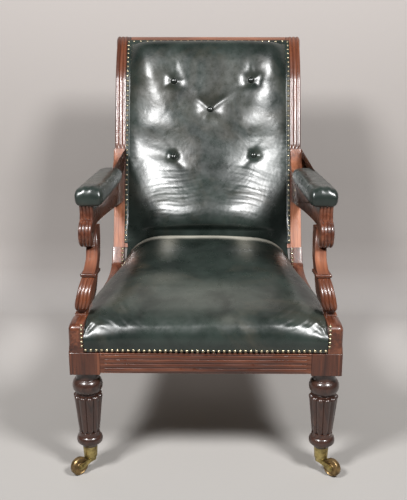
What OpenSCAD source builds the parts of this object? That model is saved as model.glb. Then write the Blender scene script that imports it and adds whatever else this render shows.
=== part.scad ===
// Library armchair of about 1835: mahogany show-wood frame, buttoned leather back,
// crowned leather seat, padded scroll arms, turned reeded front legs, sabre back legs
// and four brass castors that swivel and roll.
//
// Frame: +X to the right of someone facing the chair, +Y to the back, +Z up.
// Outlines are drawn with y counted back from the front face of the front rail and
// z counted up from the floor; seated() then centres the chair over its origin.

/* [Overall] */
// Width over the front corner blocks
seat_w = 664; // [600:1:720]
// Front rail face to the front of the back stiles where they stand on the back legs
joint_y = 549; // [510:1:590]
// Height of the joint between back stile and back leg
joint_z = 436; // [420:1:450]
// Height of the top of the scroll-over back
overall_h = 1020; // [980:1:1060]
// How far back from the rail face the scroll reaches its top
scroll_y = 850; // [820:1:880]
// How far in from the front blocks a back stile's outer face lies
back_in = 53.5; // [47:0.5:62]

/* [Seat frame] */
// Height of the underside of the seat rails
rail_z = 288; // [270:1:300]
// Depth of the seat rails from top to bottom
rail_h = 54; // [50:1:62]
// Thickness of the front and back rails
rail_t = 28; // [22:1:34]
// Thickness of the shaped side rails
side_t = 37; // [32:1:40]
// Height of the front shoulder of a side rail above the floor
shoulder_z = 419; // [410:1:430]
// Lowest height of a side rail's top edge
dip_z = 369; // [362:1:380]
// Side of the square block at the top of a front leg
block_w = 75; // [68:1:80]
// How far the front blocks reach below the rails
block_drop = 5; // [2:1:8]
// Width of the ledge inside a side rail that carries the webbing
ledge_w = 14; // [10:1:18]
// Length of a rail tenon
tenon_l = 22; // [14:1:28]
// Thickness of a rail tenon
tenon_t = 10; // [8:1:12]
// Clearance around every tenon
tenon_gap = 0.15; // [0.05:0.05:0.3]
// Number of horizontal reeds on the front rail
rail_reeds = 4; // [3:1:6]
// How far the front rail's reeds stand out
rail_reed_out = 2.5; // [1.5:0.5:4]

/* [Front legs] */
// Diameter of the ball turning under the block
ball_d = 75; // [68:1:80]
// Diameter of the necks above and below the ball
neck_d = 59; // [54:1:64]
// Diameter of the leg at the top of its reeds
reed_top_d = 70; // [62:1:74]
// Diameter of the leg at the foot of its reeds
reed_low_d = 52; // [44:1:58]
// Diameter of the ring turning below the reeds
ring_d = 65; // [58:1:70]
// Number of reeds around a front leg
leg_reeds = 10; // [9:1:14]

/* [Back legs and stiles] */
// Thickness of a back leg from side to side
back_leg_t = 34; // [30:1:38]
// Depth of a back leg at its foot
back_foot_t = 34; // [30:1:38]
// How far back from the rail face the back feet stand
back_foot_y = 695; // [660:1:730]
// Width of a back stile seen from the front
stile_w = 42; // [38:1:46]
// Depth of a back stile from front to back
stile_t = 34; // [30:1:38]
// Width of the rebate that takes the leather's edge
rebate_w = 10; // [8:0.5:12]
// Depth of that rebate
rebate_t = 3; // [2:0.5:4]
// Rake of the stile at its foot, from upright
foot_rake = 26; // [22:1:30]
// Rake of the stile below the scroll, from upright
top_rake = 20; // [16:1:24]
// Radius of the scroll at the top of a stile
scroll_r = 28; // [24:1:32]
// Number of reeds on the face of a stile
stile_reeds = 3; // [2:1:4]

/* [Arms] */
// Thickness of an arm and its support
arm_t = 34; // [30:1:36]
// How far in from the front blocks the middle of an arm's back end lies
arm_back_in = 68; // [66:1:70]
// How far in from the front blocks the middle of an arm's front end lies
arm_front_in = 36; // [32:1:44]
// How far behind the rail face the arm's front end lies
arm_front_y = 135; // [120:1:150]
// Height of the arm's top edge at its front end
arm_top_z = 682; // [670:1:694]
// Radius of the reeded scroll at the front of an arm
volute_r = 36; // [32:1:40]
// Width of an arm pad
pad_w = 74; // [66:1:80]
// Height of an arm pad at its crown
pad_h = 33; // [26:1:38]
// Lean of an arm support from upright, seen from the front
support_lean = 10; // [8:0.5:12]

/* [Upholstery] */
// Height of the seat's crown at the back
seat_crown_z = 477; // [465:1:485]
// How far the seat's front roll falls towards its sides
seat_side_drop = 40; // [30:1:50]
// How far the seat's edge stands over the side rails
seat_edge_lift = 8; // [6:1:12]
// How far the seat bulges out over the side rails
seat_swell = 26; // [16:1:28]
// How far the inside back's middle stands out from the stiles
back_bulge = 30; // [20:1:36]
// Depth of the hollow at each button
button_dip = 17; // [10:1:20]
// Radius over which the leather is drawn in round a button
button_reach = 34; // [24:1:44]
// Diameter of a leather-covered button
button_d = 17; // [14:1:20]
// Thickness of the stuffing behind the stiles' front faces
back_depth = 14; // [12:0.5:15]
// Diameter of a nail head
nail_d = 7.5; // [6.5:0.5:8.5]
// Spacing of the nails along the seat's front
front_nail_pitch = 12.8; // [11:0.1:15]
// Spacing of the nails along the stiles
side_nail_pitch = 15; // [12:0.5:18]
// Spacing of the nails along the crest
crest_nail_pitch = 20.5; // [16:0.5:24]

/* [Castors] */
// Diameter of a castor wheel
wheel_d = 47; // [44:1:48]
// Width of a castor wheel's tread
wheel_t = 16; // [12:1:18]
// Distance from the swivel axis to the axle
trail = 36; // [36:1:40]
// Diameter of an axle
axle_d = 6; // [5:0.5:8]
// Radial clearance between a wheel and its axle
axle_gap = 0.06; // [0.02:0.01:0.1]
// Thickness of a horn's cheeks
cheek_t = 3; // [2.5:0.5:4]
// Gap between a wheel and a cheek
cheek_gap = 0.6; // [0.4:0.1:1]
// Diameter of a castor cup at its mouth
cup_d = 37; // [34:0.5:40]
// Height of a castor cup
cup_h = 34; // [30:1:37]
// Height of the underside of a cup above the floor
cup_z = 37; // [37:0.5:39]
// Thickness of a cup's wall
cup_wall = 2.5; // [2:0.25:3]
// Diameter of the swivel pin
pin_d = 9; // [8:0.5:10]
// Radial clearance of the swivel pin
pin_gap = 0.06; // [0.02:0.01:0.1]

/* [Hidden] */
$fn = 48;

// Colours
mahogany = "#6a3520";
dark_mahogany = "#4a2a1e";
pale_wood = "#b08a5a";
green_leather = "#38413b";
web_brown = "#8a7350";
old_brass = "#a58b4c";

// Shared small sizes
over = 1; // overrun of every cut
seat_gap = 0.4; // gap between soft work and the wood beside it
touch = 0.3; // gap between a seated piece and its seat

// Side marks: the left of the chair as seen from the front is -1
left = -1;
right = 1;

// Levels and lines derived from the sizes above
rail_top = rail_z + rail_h;
block_x = seat_w / 2 - block_w / 2;
block_y = block_w / 2;
back_x = seat_w / 2 - back_in;
arm_back_x = seat_w / 2 - arm_back_in;
arm_front_x = seat_w / 2 - arm_front_in;
stile_in = back_x - stile_w;
leg_face_y = joint_y - stile_t * 0.85;
plan_slope = (back_in - touch) / joint_y;
plan_angle = atan(plan_slope);
depth = scroll_y + scroll_r;
front_heading = 43;
back_heading = 55;
// How far the front wheels reach ahead of the rail face
front_reach = (trail + wheel_d * 0.47) * sin(front_heading) + wheel_t * 0.42 * cos(front_heading) - block_w / 2;
seat_mid_y = (depth - front_reach) / 2;
cup_top = cup_z + cup_h;

// The whole chair is moved so that its origin lies under its middle
module seated() translate([0, -seat_mid_y, 0]) children();

// A side view outline [y, z] given thickness t across X, centred on x
module board(x, t) translate([x - t / 2, 0, 0]) rotate([90, 0, 90]) linear_extrude(t) children();

// Curves in the side view
function bez(p, n) = [for (i = [0:n]) let(t = i / n, s = 1 - t)
    p[0] * s * s * s + 3 * p[1] * s * s * t + 3 * p[2] * s * t * t + p[3] * t * t * t];
function raked(a) = [sin(a), cos(a)];
function behind(a) = [cos(a), -sin(a)];
function tail(v) = [for (i = [1:len(v) - 1]) v[i]];
function flip(v) = [for (i = [len(v) - 1:-1:0]) v[i]];

// The front line of a stile, from its foot over the scroll
stile_foot = [joint_y, joint_z];
stile_shoulder = [joint_y + (scroll_y - joint_y) * 0.65, joint_z + (overall_h - joint_z) * 0.792];
stile_top = [scroll_y, overall_h];
foot_pull = (stile_shoulder[1] - joint_z) * 0.343;
neck_pull = (overall_h - stile_shoulder[1]) * 0.42;
top_pull = (scroll_y - stile_shoulder[0]) * 0.27;
stile_line = concat(
    bez([stile_foot, stile_foot + foot_pull * raked(foot_rake),
         stile_shoulder - foot_pull * raked(top_rake), stile_shoulder], 10),
    tail(bez([stile_shoulder, stile_shoulder + neck_pull * raked(top_rake),
              stile_top - top_pull * raked(82), stile_top], 8)));
function step_lengths(p) = [for (i = [1:len(p) - 1]) norm(p[i] - p[i - 1])];
function sum_to(v, n) = n == 0 ? 0 : v[n - 1] + sum_to(v, n - 1);
stile_steps = step_lengths(stile_line);
stile_len = sum_to(stile_steps, len(stile_steps));
stile_ys = [for (i = [0:len(stile_line) - 1]) [sum_to(stile_steps, i), stile_line[i][0]]];
stile_zs = [for (i = [0:len(stile_line) - 1]) [sum_to(stile_steps, i), stile_line[i][1]]];
feel = stile_len / 60;
function line_at(s) = [lookup(s, stile_ys), lookup(s, stile_zs)];
function rake_at(s) = let(d = line_at(min(s + feel, stile_len)) - line_at(max(s - feel, 0)))
    atan2(d[0], d[1]);
// A point of the side view, s along the stile's front line and out in front of it
function off_line(s, out) = line_at(s) - out * behind(rake_at(s));
function run_line(s0, s1, out, n) = [for (i = [0:n]) off_line(s0 + (s1 - s0) * i / n, out)];

// Stations along the stile's front line
lower_rail_s = stile_len * 0.035;
lower_rail_e = stile_len * 0.11;
leather_top_s = stile_len * 0.97;
crest_low_s = stile_len * 0.865;
scroll_mid = [scroll_y, overall_h - scroll_r];

// Joinery
module tenon(c, size) translate(c) cube(size, center = true);
function grown(size, g) = [size[0] + 2 * g, size[1] + 2 * g, size[2] + 2 * g];
rail_tenon_h = rail_h * 0.6;
front_tenon_c = [block_x - block_w / 2 + tenon_l / 2, rail_t / 2 + rail_reed_out, rail_z + rail_h / 2];
front_tenon = [tenon_l, tenon_t, rail_tenon_h];
side_tenon = [tenon_t, tenon_l, rail_tenon_h];
side_front_c = [block_x + block_w * 0.12, block_w - tenon_l / 2, rail_z + rail_h / 2];
side_back_c = [back_x - back_leg_t / 2, leg_face_y + tenon_l / 2, rail_z + rail_h / 2];
back_rail_y = leg_face_y + rail_t;
back_tenon_c = [back_x - back_leg_t + tenon_t / 2 + touch, back_rail_y + rail_t / 2, rail_z + rail_h / 2];

// Seat rails
front_rail_half = seat_w / 2 - block_w;
reed_stop = block_w * 0.14;
reed_pitch = rail_h * 0.86 / rail_reeds;
module front_rail() {
    color(mahogany) seated() {
        translate([-front_rail_half, rail_reed_out, rail_z])
            cube([2 * front_rail_half, rail_t - rail_reed_out, rail_h]);
        translate([-front_rail_half, 0, rail_top - reed_pitch * 0.3])
            cube([2 * front_rail_half, rail_t / 2, reed_pitch * 0.3]);
        for (side = [left, right]) {
            tenon([side * (front_tenon_c[0] - over / 2), front_tenon_c[1], front_tenon_c[2]],
                [front_tenon[0] + over, front_tenon[1], front_tenon[2]]);
        }
        for (i = [0:rail_reeds - 1]) {
            translate([0, rail_reed_out, rail_z + rail_h * 0.04 + reed_pitch * (i + 0.5)]) rotate([0, 90, 0])
                intersection() {
                    cylinder(r = reed_pitch * 0.47, h = 2 * (front_rail_half - reed_stop), center = true);
                    translate([0, -rail_reed_out / 2, 0])
                        cube([reed_pitch, rail_reed_out, seat_w], center = true);
                }
        }
    }
}

module back_rail() {
    color(pale_wood) seated() {
        half = back_x - back_leg_t - touch;
        translate([-half, back_rail_y, rail_z]) cube([2 * half, rail_t, rail_h]);
        for (side = [left, right]) {
            tenon([side * (half + (tenon_t - over) / 2), back_tenon_c[1], back_tenon_c[2]],
                [tenon_t + over, tenon_t, rail_tenon_h]);
        }
    }
}

// Side rails: the front shoulder laps over the leg's block, then the top edge dips
// and sweeps up again to the back leg
dip_y = joint_y * 0.73;
shoulder_y = joint_y * 0.09;
sweep_z = dip_z + (joint_z - dip_z) * 0.42;
rail_curve = concat(
    bez([[0, shoulder_z - shoulder_y * 0.4], [0, shoulder_z - shoulder_y * 0.08],
         [shoulder_y * 0.42, shoulder_z], [shoulder_y, shoulder_z]], 5),
    tail(bez([[shoulder_y, shoulder_z], [shoulder_y + dip_y * 0.2, shoulder_z],
              [dip_y * 0.625, dip_z], [dip_y, dip_z]], 8)),
    tail(bez([[dip_y, dip_z], [dip_y + (leg_face_y - dip_y) * 0.58, dip_z],
              [leg_face_y - (leg_face_y - dip_y) * 0.17, dip_z + (sweep_z - dip_z) * 0.32],
              [leg_face_y, sweep_z]], 6)));
// The rail runs on past the back leg's plane and is cut there
rail_run = leg_face_y + side_t * 0.2;
module side_rail_shape() polygon([for (p = concat([[-over, rail_z], [-over, rail_curve[0][1]]], rail_curve,
    [[rail_run, sweep_z + side_t * 0.1], [rail_run, rail_z]]))
    [p[0] / cos(plan_angle), p[1]]]);
module side_turn() translate([seat_w / 2, 0, 0]) rotate([0, 0, plan_angle]) children();
// Half the width inside the side rails, y behind the rail face
function inside_x(y) = seat_w / 2 - side_t / cos(plan_angle) - y * plan_slope;
function rail_edge_z(y) = lookup(y, rail_curve);
inner_shift = side_t * sin(plan_angle);
function inner_edge_z(y) = rail_edge_z(y + inner_shift);
module side_rail() {
    color(mahogany) seated() {
        difference() {
            intersection() {
                union() {
                    side_turn() board(-side_t / 2, side_t) side_rail_shape();
                    side_turn() translate([-side_t - ledge_w, block_w / 2, rail_z])
                        cube([ledge_w + over, leg_face_y, rail_h]);
                }
                translate([0, touch / 3, rail_z - over]) cube([seat_w, leg_face_y - touch, rail_z]);
            }
            translate([0, 0, rail_z - over]) cube([block_x + block_w, block_w, rail_h + over]);
            support_tenon(tenon_gap);
        }
        tenon([side_front_c[0], side_front_c[1] + touch, side_front_c[2]], side_tenon);
        tenon([side_back_c[0], side_back_c[1] - over / 2, side_back_c[2]],
            [side_tenon[0], side_tenon[1] + over, side_tenon[2]]);
    }
}
module side_rail_left() mirror([1, 0, 0]) side_rail();
module side_rail_right() side_rail();

// Turned and reeded front legs
leg_foot_z = cup_top;
tenon_r = cup_d / 2 - cup_wall * 1.8;
block_low = rail_z - block_drop;
ball_r = rail_h * 0.38;
ball_z = block_low - rail_h * 0.76;
low_neck_z = ball_z - ball_r - rail_h * 0.05;
reed_top_z = low_neck_z - rail_h * 0.17;
reed_low_z = leg_foot_z + rail_h * 0.8;
ring_z = leg_foot_z + rail_h * 0.36;
// Width of a reed as a share of its room, and the share of the leg's diameter that it is centred on
reed_fill = 0.96;
reed_core = 0.5 / (1 + reed_fill * sin(180 / leg_reeds));
leg_profile = concat(
    [[0, block_low + over], [neck_d / 2, block_low + over], [neck_d / 2, ball_z + ball_r * 0.96]],
    [for (a = [65:-26:-65]) [ball_d / 2 - ball_r * 0.75 * (1 - cos(a)), ball_z + ball_r * sin(a)]],
    [[neck_d / 2, low_neck_z], [neck_d / 2 + rail_h * 0.02, low_neck_z - rail_h * 0.02],
     [ball_d * 0.46, low_neck_z - rail_h * 0.06], [ball_d * 0.49, low_neck_z - rail_h * 0.11],
     [ball_d * 0.49, reed_top_z + rail_h * 0.02], [reed_top_d * 0.47, reed_top_z - rail_h * 0.03],
     [reed_top_d * reed_core, reed_top_z - rail_h * 0.04], [reed_low_d * reed_core, reed_low_z],
     [reed_low_d * 0.48, ring_z + rail_h * 0.27]],
    [for (a = [60:-30:-30]) [ring_d / 2 - rail_h * 0.16 * (1 - cos(a)), ring_z + rail_h * 0.24 * sin(a)]],
    [[cup_d * 0.57, leg_foot_z + rail_h * 0.08], [cup_d * 0.51, leg_foot_z + touch], [tenon_r, leg_foot_z + touch],
     [tenon_r, leg_foot_z - cup_h * 0.3], [0, leg_foot_z - cup_h * 0.3]]);
module leg_reeds_all() {
    top_r = reed_top_d * reed_core;
    low_r = reed_low_d * reed_core;
    h = reed_top_z - reed_low_z;
    lean = atan((top_r - low_r) / h);
    for (i = [0:leg_reeds - 1]) {
        rotate([0, 0, 360 * (i + 0.5) / leg_reeds]) translate([low_r - over / 4, 0, reed_low_z - over])
            rotate([0, lean, 0])
            cylinder(r1 = low_r * reed_fill * sin(180 / leg_reeds), r2 = top_r * reed_fill * sin(180 / leg_reeds),
                h = h / cos(lean) + over, $fn = 24);
    }
}
module front_leg() {
    color(dark_mahogany) seated() translate([block_x, block_y, 0]) {
        rotate_extrude($fn = 64) polygon(leg_profile);
        leg_reeds_all();
        difference() {
            translate([-block_w / 2, -block_w / 2, block_low]) cube([block_w, block_w, rail_h + block_drop]);
            tenon([front_tenon_c[0] - block_x, front_tenon_c[1] - block_y, front_tenon_c[2]],
                grown([front_tenon[0] + over, front_tenon[1], front_tenon[2]], tenon_gap));
            tenon([side_front_c[0] - block_x, side_front_c[1] - block_y, side_front_c[2]],
                grown([side_tenon[0], side_tenon[1] + over, side_tenon[2]], tenon_gap));
        }
    }
}
module front_leg_left() mirror([1, 0, 0]) front_leg();
module front_leg_right() front_leg();

// Sabre back legs, whose tops carry the stiles
collar = stile_t * 0.06;
leg_top_front = stile_foot - collar * behind(foot_rake);
leg_top_back = stile_foot + (stile_t + collar) * behind(foot_rake);
foot_front = [back_foot_y - back_foot_t / 2, cup_top + touch];
foot_back = [back_foot_y + back_foot_t / 2, cup_top + touch];
leg_top_line = bez([[leg_face_y, sweep_z], [leg_face_y + collar * 2, sweep_z + collar * 2.5],
    leg_top_front - collar * 5 * raked(foot_rake * 1.3), leg_top_front], 4);
leg_shape = concat(
    bez([foot_front, [joint_y + (back_foot_y - joint_y) * 0.33, rail_z * 0.47],
         [leg_face_y + stile_t * 0.15, rail_z * 0.78], [leg_face_y, rail_z]], 8),
    leg_top_line,
    bez([leg_top_back, leg_top_back - stile_t * 2.1 * raked(foot_rake),
         [joint_y + (back_foot_y - joint_y) * 0.28, rail_z * 0.7], foot_back], 10));
back_leg_x = back_x - back_leg_t / 2 + collar;
stile_tenon_s = stile_t * 0.75;
module stile_tenon(g) translate([back_leg_x - stile_tenon_s / 2 - g, joint_y, joint_z])
    rotate([-foot_rake, 0, 0]) translate([0, stile_t * 0.28 - g, -stile_tenon_s - g])
    cube([stile_tenon_s / 1.4 + 2 * g, stile_t * 0.42 + 2 * g, stile_tenon_s + over + 2 * g]);
module back_leg() {
    color(mahogany) seated() {
        difference() {
            board(back_leg_x, back_leg_t) polygon(leg_shape);
            tenon(side_back_c, grown([side_tenon[0], side_tenon[1] + 2 * over, side_tenon[2]], tenon_gap));
            tenon([back_x - back_leg_t - touch, back_tenon_c[1], back_tenon_c[2]],
                grown([2 * tenon_t, tenon_t, rail_tenon_h], tenon_gap));
            stile_tenon(tenon_gap);
        }
        translate([back_leg_x, back_foot_y, 0])
            translate([0, 0, cup_top - cup_h * 0.3])
            cylinder(r = tenon_r, h = cup_h * 0.3 + over);
    }
}
module back_leg_left() mirror([1, 0, 0]) back_leg();
module back_leg_right() back_leg();

// Back stiles: a plain foot, a reeded face and a round scroll at the top
function row_line(out) = concat([off_line(0, out)],
    [for (v = back_rows_shares) off_line(back_low_s + back_len * v, out)], [off_line(leather_top_s, out)]);
reed_start_s = stile_len * 0.455;
face_w = stile_w - rebate_w;
stile_reed_w = face_w / (stile_reeds + 0.35);
module stile_shape(front, back) polygon(concat(run_line(0, stile_len, front, 24),
    flip(run_line(0, stile_len, -back, 24))));
module back_stile() {
    color(mahogany) seated() {
        difference() {
            union() {
                board(back_x - stile_w / 2, stile_w) stile_shape(0, stile_t);
                board(back_x - stile_w / 2, stile_w) translate(scroll_mid) circle(r = scroll_r);
            }
            board(stile_in + rebate_w / 2 - over / 2, rebate_w + over)
                polygon(concat(row_line(over), flip(row_line(-rebate_t))));
            for (end = [0, 1]) {
                back_rail_cut(end, tenon_gap);
            }
            arm_tenon(tenon_gap);
        }
        for (i = [0:stile_reeds - 1]) {
            board(back_x - face_w + face_w * (i + 0.5) / stile_reeds, stile_reed_w)
                polygon(concat(run_line(reed_start_s, stile_len * 0.985, rebate_t * 0.5, 14),
                    flip(run_line(reed_start_s, stile_len * 0.985, -over, 14))));
        }
        stile_tenon(0);
    }
}
module back_stile_left() mirror([1, 0, 0]) back_stile();
module back_stile_right() back_stile();

// Rails of the back, tenoned between the stiles
back_rail_t = stile_t - back_depth - 2 * touch - rebate_t;
function back_tenon_s(end) = end == 0 ? (lower_rail_s + lower_rail_e) / 2 : stile_len * 0.9;
module back_rail_tenon(end, g, reach) {
    s = back_tenon_s(end);
    p = off_line(s, -back_depth - back_rail_t / 2);
    translate([stile_in, p[0], p[1]]) rotate([-rake_at(s), 0, 0])
        cube([2 * (reach + g), back_rail_t * 0.5 + 2 * g, stile_len * 0.04 + 2 * g], center = true);
}
module back_rail_cut(end, g) back_rail_tenon(end, g, tenon_l);
module between_stiles(half) intersection() {
    translate([-half, 0, 0]) cube([2 * half, 2 * depth, 2 * overall_h]);
    children();
}
rail_half = stile_in - touch / 3;
module lower_back_rail() {
    color(pale_wood) seated() {
        board(0, 2 * rail_half) polygon(concat(run_line(lower_rail_s, lower_rail_e, -back_depth - touch, 3),
            flip(run_line(lower_rail_s, lower_rail_e, -back_depth - touch - back_rail_t, 3))));
        for (side = [0, 1]) mirror([side, 0, 0]) back_rail_tenon(0, 0, tenon_l - over);
    }
}
module crest_rail() {
    color(mahogany) seated() {
        board(0, 2 * rail_half) union() {
            polygon(concat(run_line(crest_low_s, leather_top_s, -back_depth - touch, 4),
                run_line(leather_top_s, stile_len, 0, 4),
                flip(run_line(crest_low_s, stile_len, -back_depth - touch - back_rail_t, 8))));
            difference() {
                translate(scroll_mid) circle(r = scroll_r - touch);
                polygon(concat(run_line(crest_low_s, leather_top_s, scroll_r, 4),
                    flip(run_line(crest_low_s, leather_top_s, -back_depth - touch, 4))));
            }
        }
        for (side = [0, 1]) mirror([side, 0, 0]) back_rail_tenon(1, 0, tenon_l - over);
    }
}

// Arms: a ramp up the stile, a sloping rail and a reeded scroll that turns down in front
arm_ramp_s = stile_len * 0.445;
arm_low_s = stile_len * 0.205;
ramp_top = line_at(arm_ramp_s);
ramp_low = line_at(arm_low_s);
arm_slope = 4;
arm_back_y = ramp_top[0] - arm_t * 2;
function arm_top_at(y) = arm_top_z - (y - arm_front_y) * tan(arm_slope);
volute_mid = [arm_front_y + volute_r * 0.3, arm_top_z - volute_r * 2.17];
function arc(c, r, a0, a1, n) = [for (i = [0:n]) let(a = a0 + (a1 - a0) * i / n) c + r * [cos(a), sin(a)]];
volute_rim = arc(volute_mid, volute_r, 15, -255, 20);
throat = arm_front_y + volute_r * 0.16;
module arm_shape() polygon(concat(
    [[arm_front_y, arm_top_z], [arm_back_y, arm_top_at(arm_back_y)]],
    tail(bez([[arm_back_y, arm_top_at(arm_back_y)], [arm_back_y + arm_t, arm_top_at(arm_back_y + arm_t)],
              ramp_top - arm_t * 0.8 * raked(foot_rake), ramp_top], 6)),
    [ramp_top + arm_t * 0.3 * behind(foot_rake), ramp_low + arm_t * 0.3 * behind(foot_rake)],
    bez([ramp_low, ramp_low + [-arm_t * 2, arm_t * 0.25],
         volute_rim[0] + [volute_r * 1.6, volute_r * 0.1], volute_rim[0]], 8),
    tail(volute_rim),
    tail(bez([volute_rim[20], [throat, volute_mid[1] + volute_r * 1.3], [throat, volute_mid[1] + volute_r * 1.6],
              [arm_front_y, arm_top_z - volute_r * 0.25]], 4))));
arm_run = ramp_top[0] - arm_front_y;
splay = atan((arm_front_x - arm_back_x) / arm_run);
module arm_turn() translate([arm_back_x, ramp_top[0], 0]) rotate([0, 0, splay])
    translate([0, -ramp_top[0], 0]) children();
volute_reeds = 4;
reed_out = rebate_t * 0.8;
volute_reed_w = arm_t / (volute_reeds + 0.4);
module arm_tenon(g) {
    s = (arm_ramp_s + arm_low_s) / 2;
    p = off_line(s, 0);
    translate([arm_back_x, p[0], p[1]]) rotate([-rake_at(s), 0, 0])
        cube([tenon_t + 2 * g, tenon_l + 2 * g, stile_len * 0.1 + 2 * g], center = true);
}
module arm() {
    color(mahogany) seated() {
        difference() {
            arm_turn() board(0, arm_t) arm_shape();
            support_top_tenon(tenon_gap);
            board(arm_back_x, 2 * arm_t) polygon(concat(run_line(0, stile_len * 0.6, touch, 10),
                flip(run_line(0, stile_len * 0.6, -stile_t, 10))));
        }
        difference() {
            arm_turn() for (i = [0:volute_reeds - 1]) {
                board(arm_t * ((i + 0.5) / volute_reeds - 0.5), volute_reed_w)
                    polygon(concat(arc(volute_mid, volute_r + reed_out, 105, 255, 10),
                        arc(volute_mid, volute_r - reed_out, 255, 105, 10)));
            }
            support_top_tenon(tenon_gap);
        }
        arm_tenon(0);
    }
}
module arm_left() mirror([1, 0, 0]) arm();
module arm_right() arm();

// Arm supports: a neck on the rail's shoulder, a reeded scroll, a collar and a plain shaft
support_y = shoulder_y + arm_t * 0.3;
collar_z = shoulder_z + (volute_mid[1] - shoulder_z) * 0.483;
shaft_top = [volute_mid[0] + volute_r * 1.15, volute_mid[1] + volute_r * 0.12];
bulge_z = shoulder_z + (collar_z - shoulder_z) * 0.48;
neck_front = [support_y - arm_t * 0.1, shoulder_z + touch];
front_collar = [support_y + arm_t * 0.62, collar_z];
support_front = concat(
    bez([neck_front, neck_front + [arm_t * 0.12, arm_t * 0.2], neck_front + [arm_t * 0.1, arm_t * 0.42],
         neck_front + [-arm_t * 0.15, arm_t * 0.45]], 3),
    tail(bez([neck_front + [-arm_t * 0.15, arm_t * 0.45], [support_y - arm_t * 0.75, shoulder_z + arm_t * 0.55],
              [support_y - arm_t * 0.75, bulge_z + arm_t * 0.7], front_collar], 8)));
shaft_front = bez([front_collar + [0, arm_t * 0.3], front_collar + [arm_t * 0.5, arm_t * 0.75],
    shaft_top + [-arm_t * 0.75, -arm_t * 1.2], shaft_top - [arm_t * 0.72, 0]], 6);
shaft_back = bez([shaft_top + [arm_t * 0.55, 0], shaft_top + [-arm_t * 0.1, -arm_t * 1.3],
    front_collar + [arm_t * 1.5, arm_t * 0.9], front_collar + [arm_t * 1.25, 0]], 6);
support_back = bez([front_collar + [arm_t * 1.25, 0], front_collar + [arm_t * 0.95, -arm_t * 1.2],
    [support_y + arm_t * 1.25, shoulder_z + arm_t * 0.9], [support_y + arm_t * 0.95, shoulder_z + touch]], 6);
module support_shape() {
    polygon(concat(support_front, [front_collar + [0, arm_t * 0.3]], tail(shaft_front), shaft_back,
        tail(support_back)));
    translate(front_collar + [-arm_t * 0.06, 0]) square([arm_t * 1.4, arm_t * 0.3]);
}
// The support's middle line and half width seen from the front, as it rises
support_foot_x = seat_w / 2 - side_t / 2 - plan_slope * (support_y + arm_t * 0.3);
shaft_x = support_foot_x - (collar_z - shoulder_z) * tan(support_lean) * 1.6;
top_x = arm_front_x - (shaft_top[0] - arm_front_y) * tan(splay);
support_rise = collar_z - shoulder_z;
support_stations = [[0, 0, 0.44], [0.1, 0.12, 0.37], [0.2, 0.22, 0.46], [0.32, 0.34, 0.55], [0.5, 0.48, 0.55],
    [0.65, 0.58, 0.53], [0.85, 0.7, 0.51], [1, 0.8, 0.51], [1.15, 0.92, 0.49], [1.4, 1, 0.46], [1.7, 0.9, 0.45],
    [2.3, 0.65, 0.46]];
function station_x(k) = support_foot_x + (shaft_x - support_foot_x) * support_stations[k][1];
function station_z(k) = shoulder_z + support_rise * support_stations[k][0];
// The strip of the front view between two shares of the half width
module front_strip(lo, hi) translate([0, depth / 2, 0]) rotate([90, 0, 0]) linear_extrude(depth / 2) polygon(concat(
    [for (k = [0:len(support_stations) - 1]) [station_x(k) + lo * arm_t * support_stations[k][2], station_z(k)]],
    flip([for (k = [0:len(support_stations) - 1])
        [station_x(k) + hi * arm_t * support_stations[k][2], station_z(k)]])));
module support_board() translate([support_foot_x - arm_t * 2, 0, 0]) rotate([90, 0, 90])
    linear_extrude(arm_t * 4) children();
module support_tenon(g) translate([support_foot_x, support_y + arm_t * 0.4, shoulder_z])
    cube([tenon_t + 2 * g, arm_t * 0.6 + 2 * g, 1.4 * tenon_l + 2 * g], center = true);
module support_top_tenon(g) translate([top_x - tenon_t * 0.3, shaft_top[0] - arm_t * 0.1, shaft_top[1]])
    cube([tenon_t + 2 * g, arm_t * 0.55 + 2 * g, tenon_l * 1.2 + 2 * g], center = true);
module support_reed(i) intersection() {
    support_board() translate([-reed_out, 0]) polygon(concat(
        [for (k = [4:len(support_front) - 2]) support_front[k]],
        [[support_y, bulge_z + arm_t * 0.2], [support_y, bulge_z - arm_t * 0.2]]));
    front_strip(2 * (i + 0.08) / volute_reeds - 1, 2 * (i + 0.92) / volute_reeds - 1);
}
module arm_support() {
    color(mahogany) seated() {
        difference() {
            union() {
                intersection() {
                    support_board() support_shape();
                    front_strip(-1, 1);
                }
                intersection() {
                    support_board() translate(front_collar + [-arm_t * 0.12, arm_t * 0.03])
                        square([arm_t * 1.5, arm_t * 0.24]);
                    front_strip(-1.16, 1.16);
                }
                for (i = [0:volute_reeds - 1]) support_reed(i);
            }
            arm_turn() board(0, arm_t * 2) arm_shape();
            translate([seat_w / 2 - side_t * 2, -over, shoulder_z - tenon_l])
                cube([side_t * 3, block_w * 2, tenon_l + touch]);
        }
        support_tenon(0);
        support_top_tenon(0);
    }
}
module arm_support_left() mirror([1, 0, 0]) arm_support();
module arm_support_right() arm_support();

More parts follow.
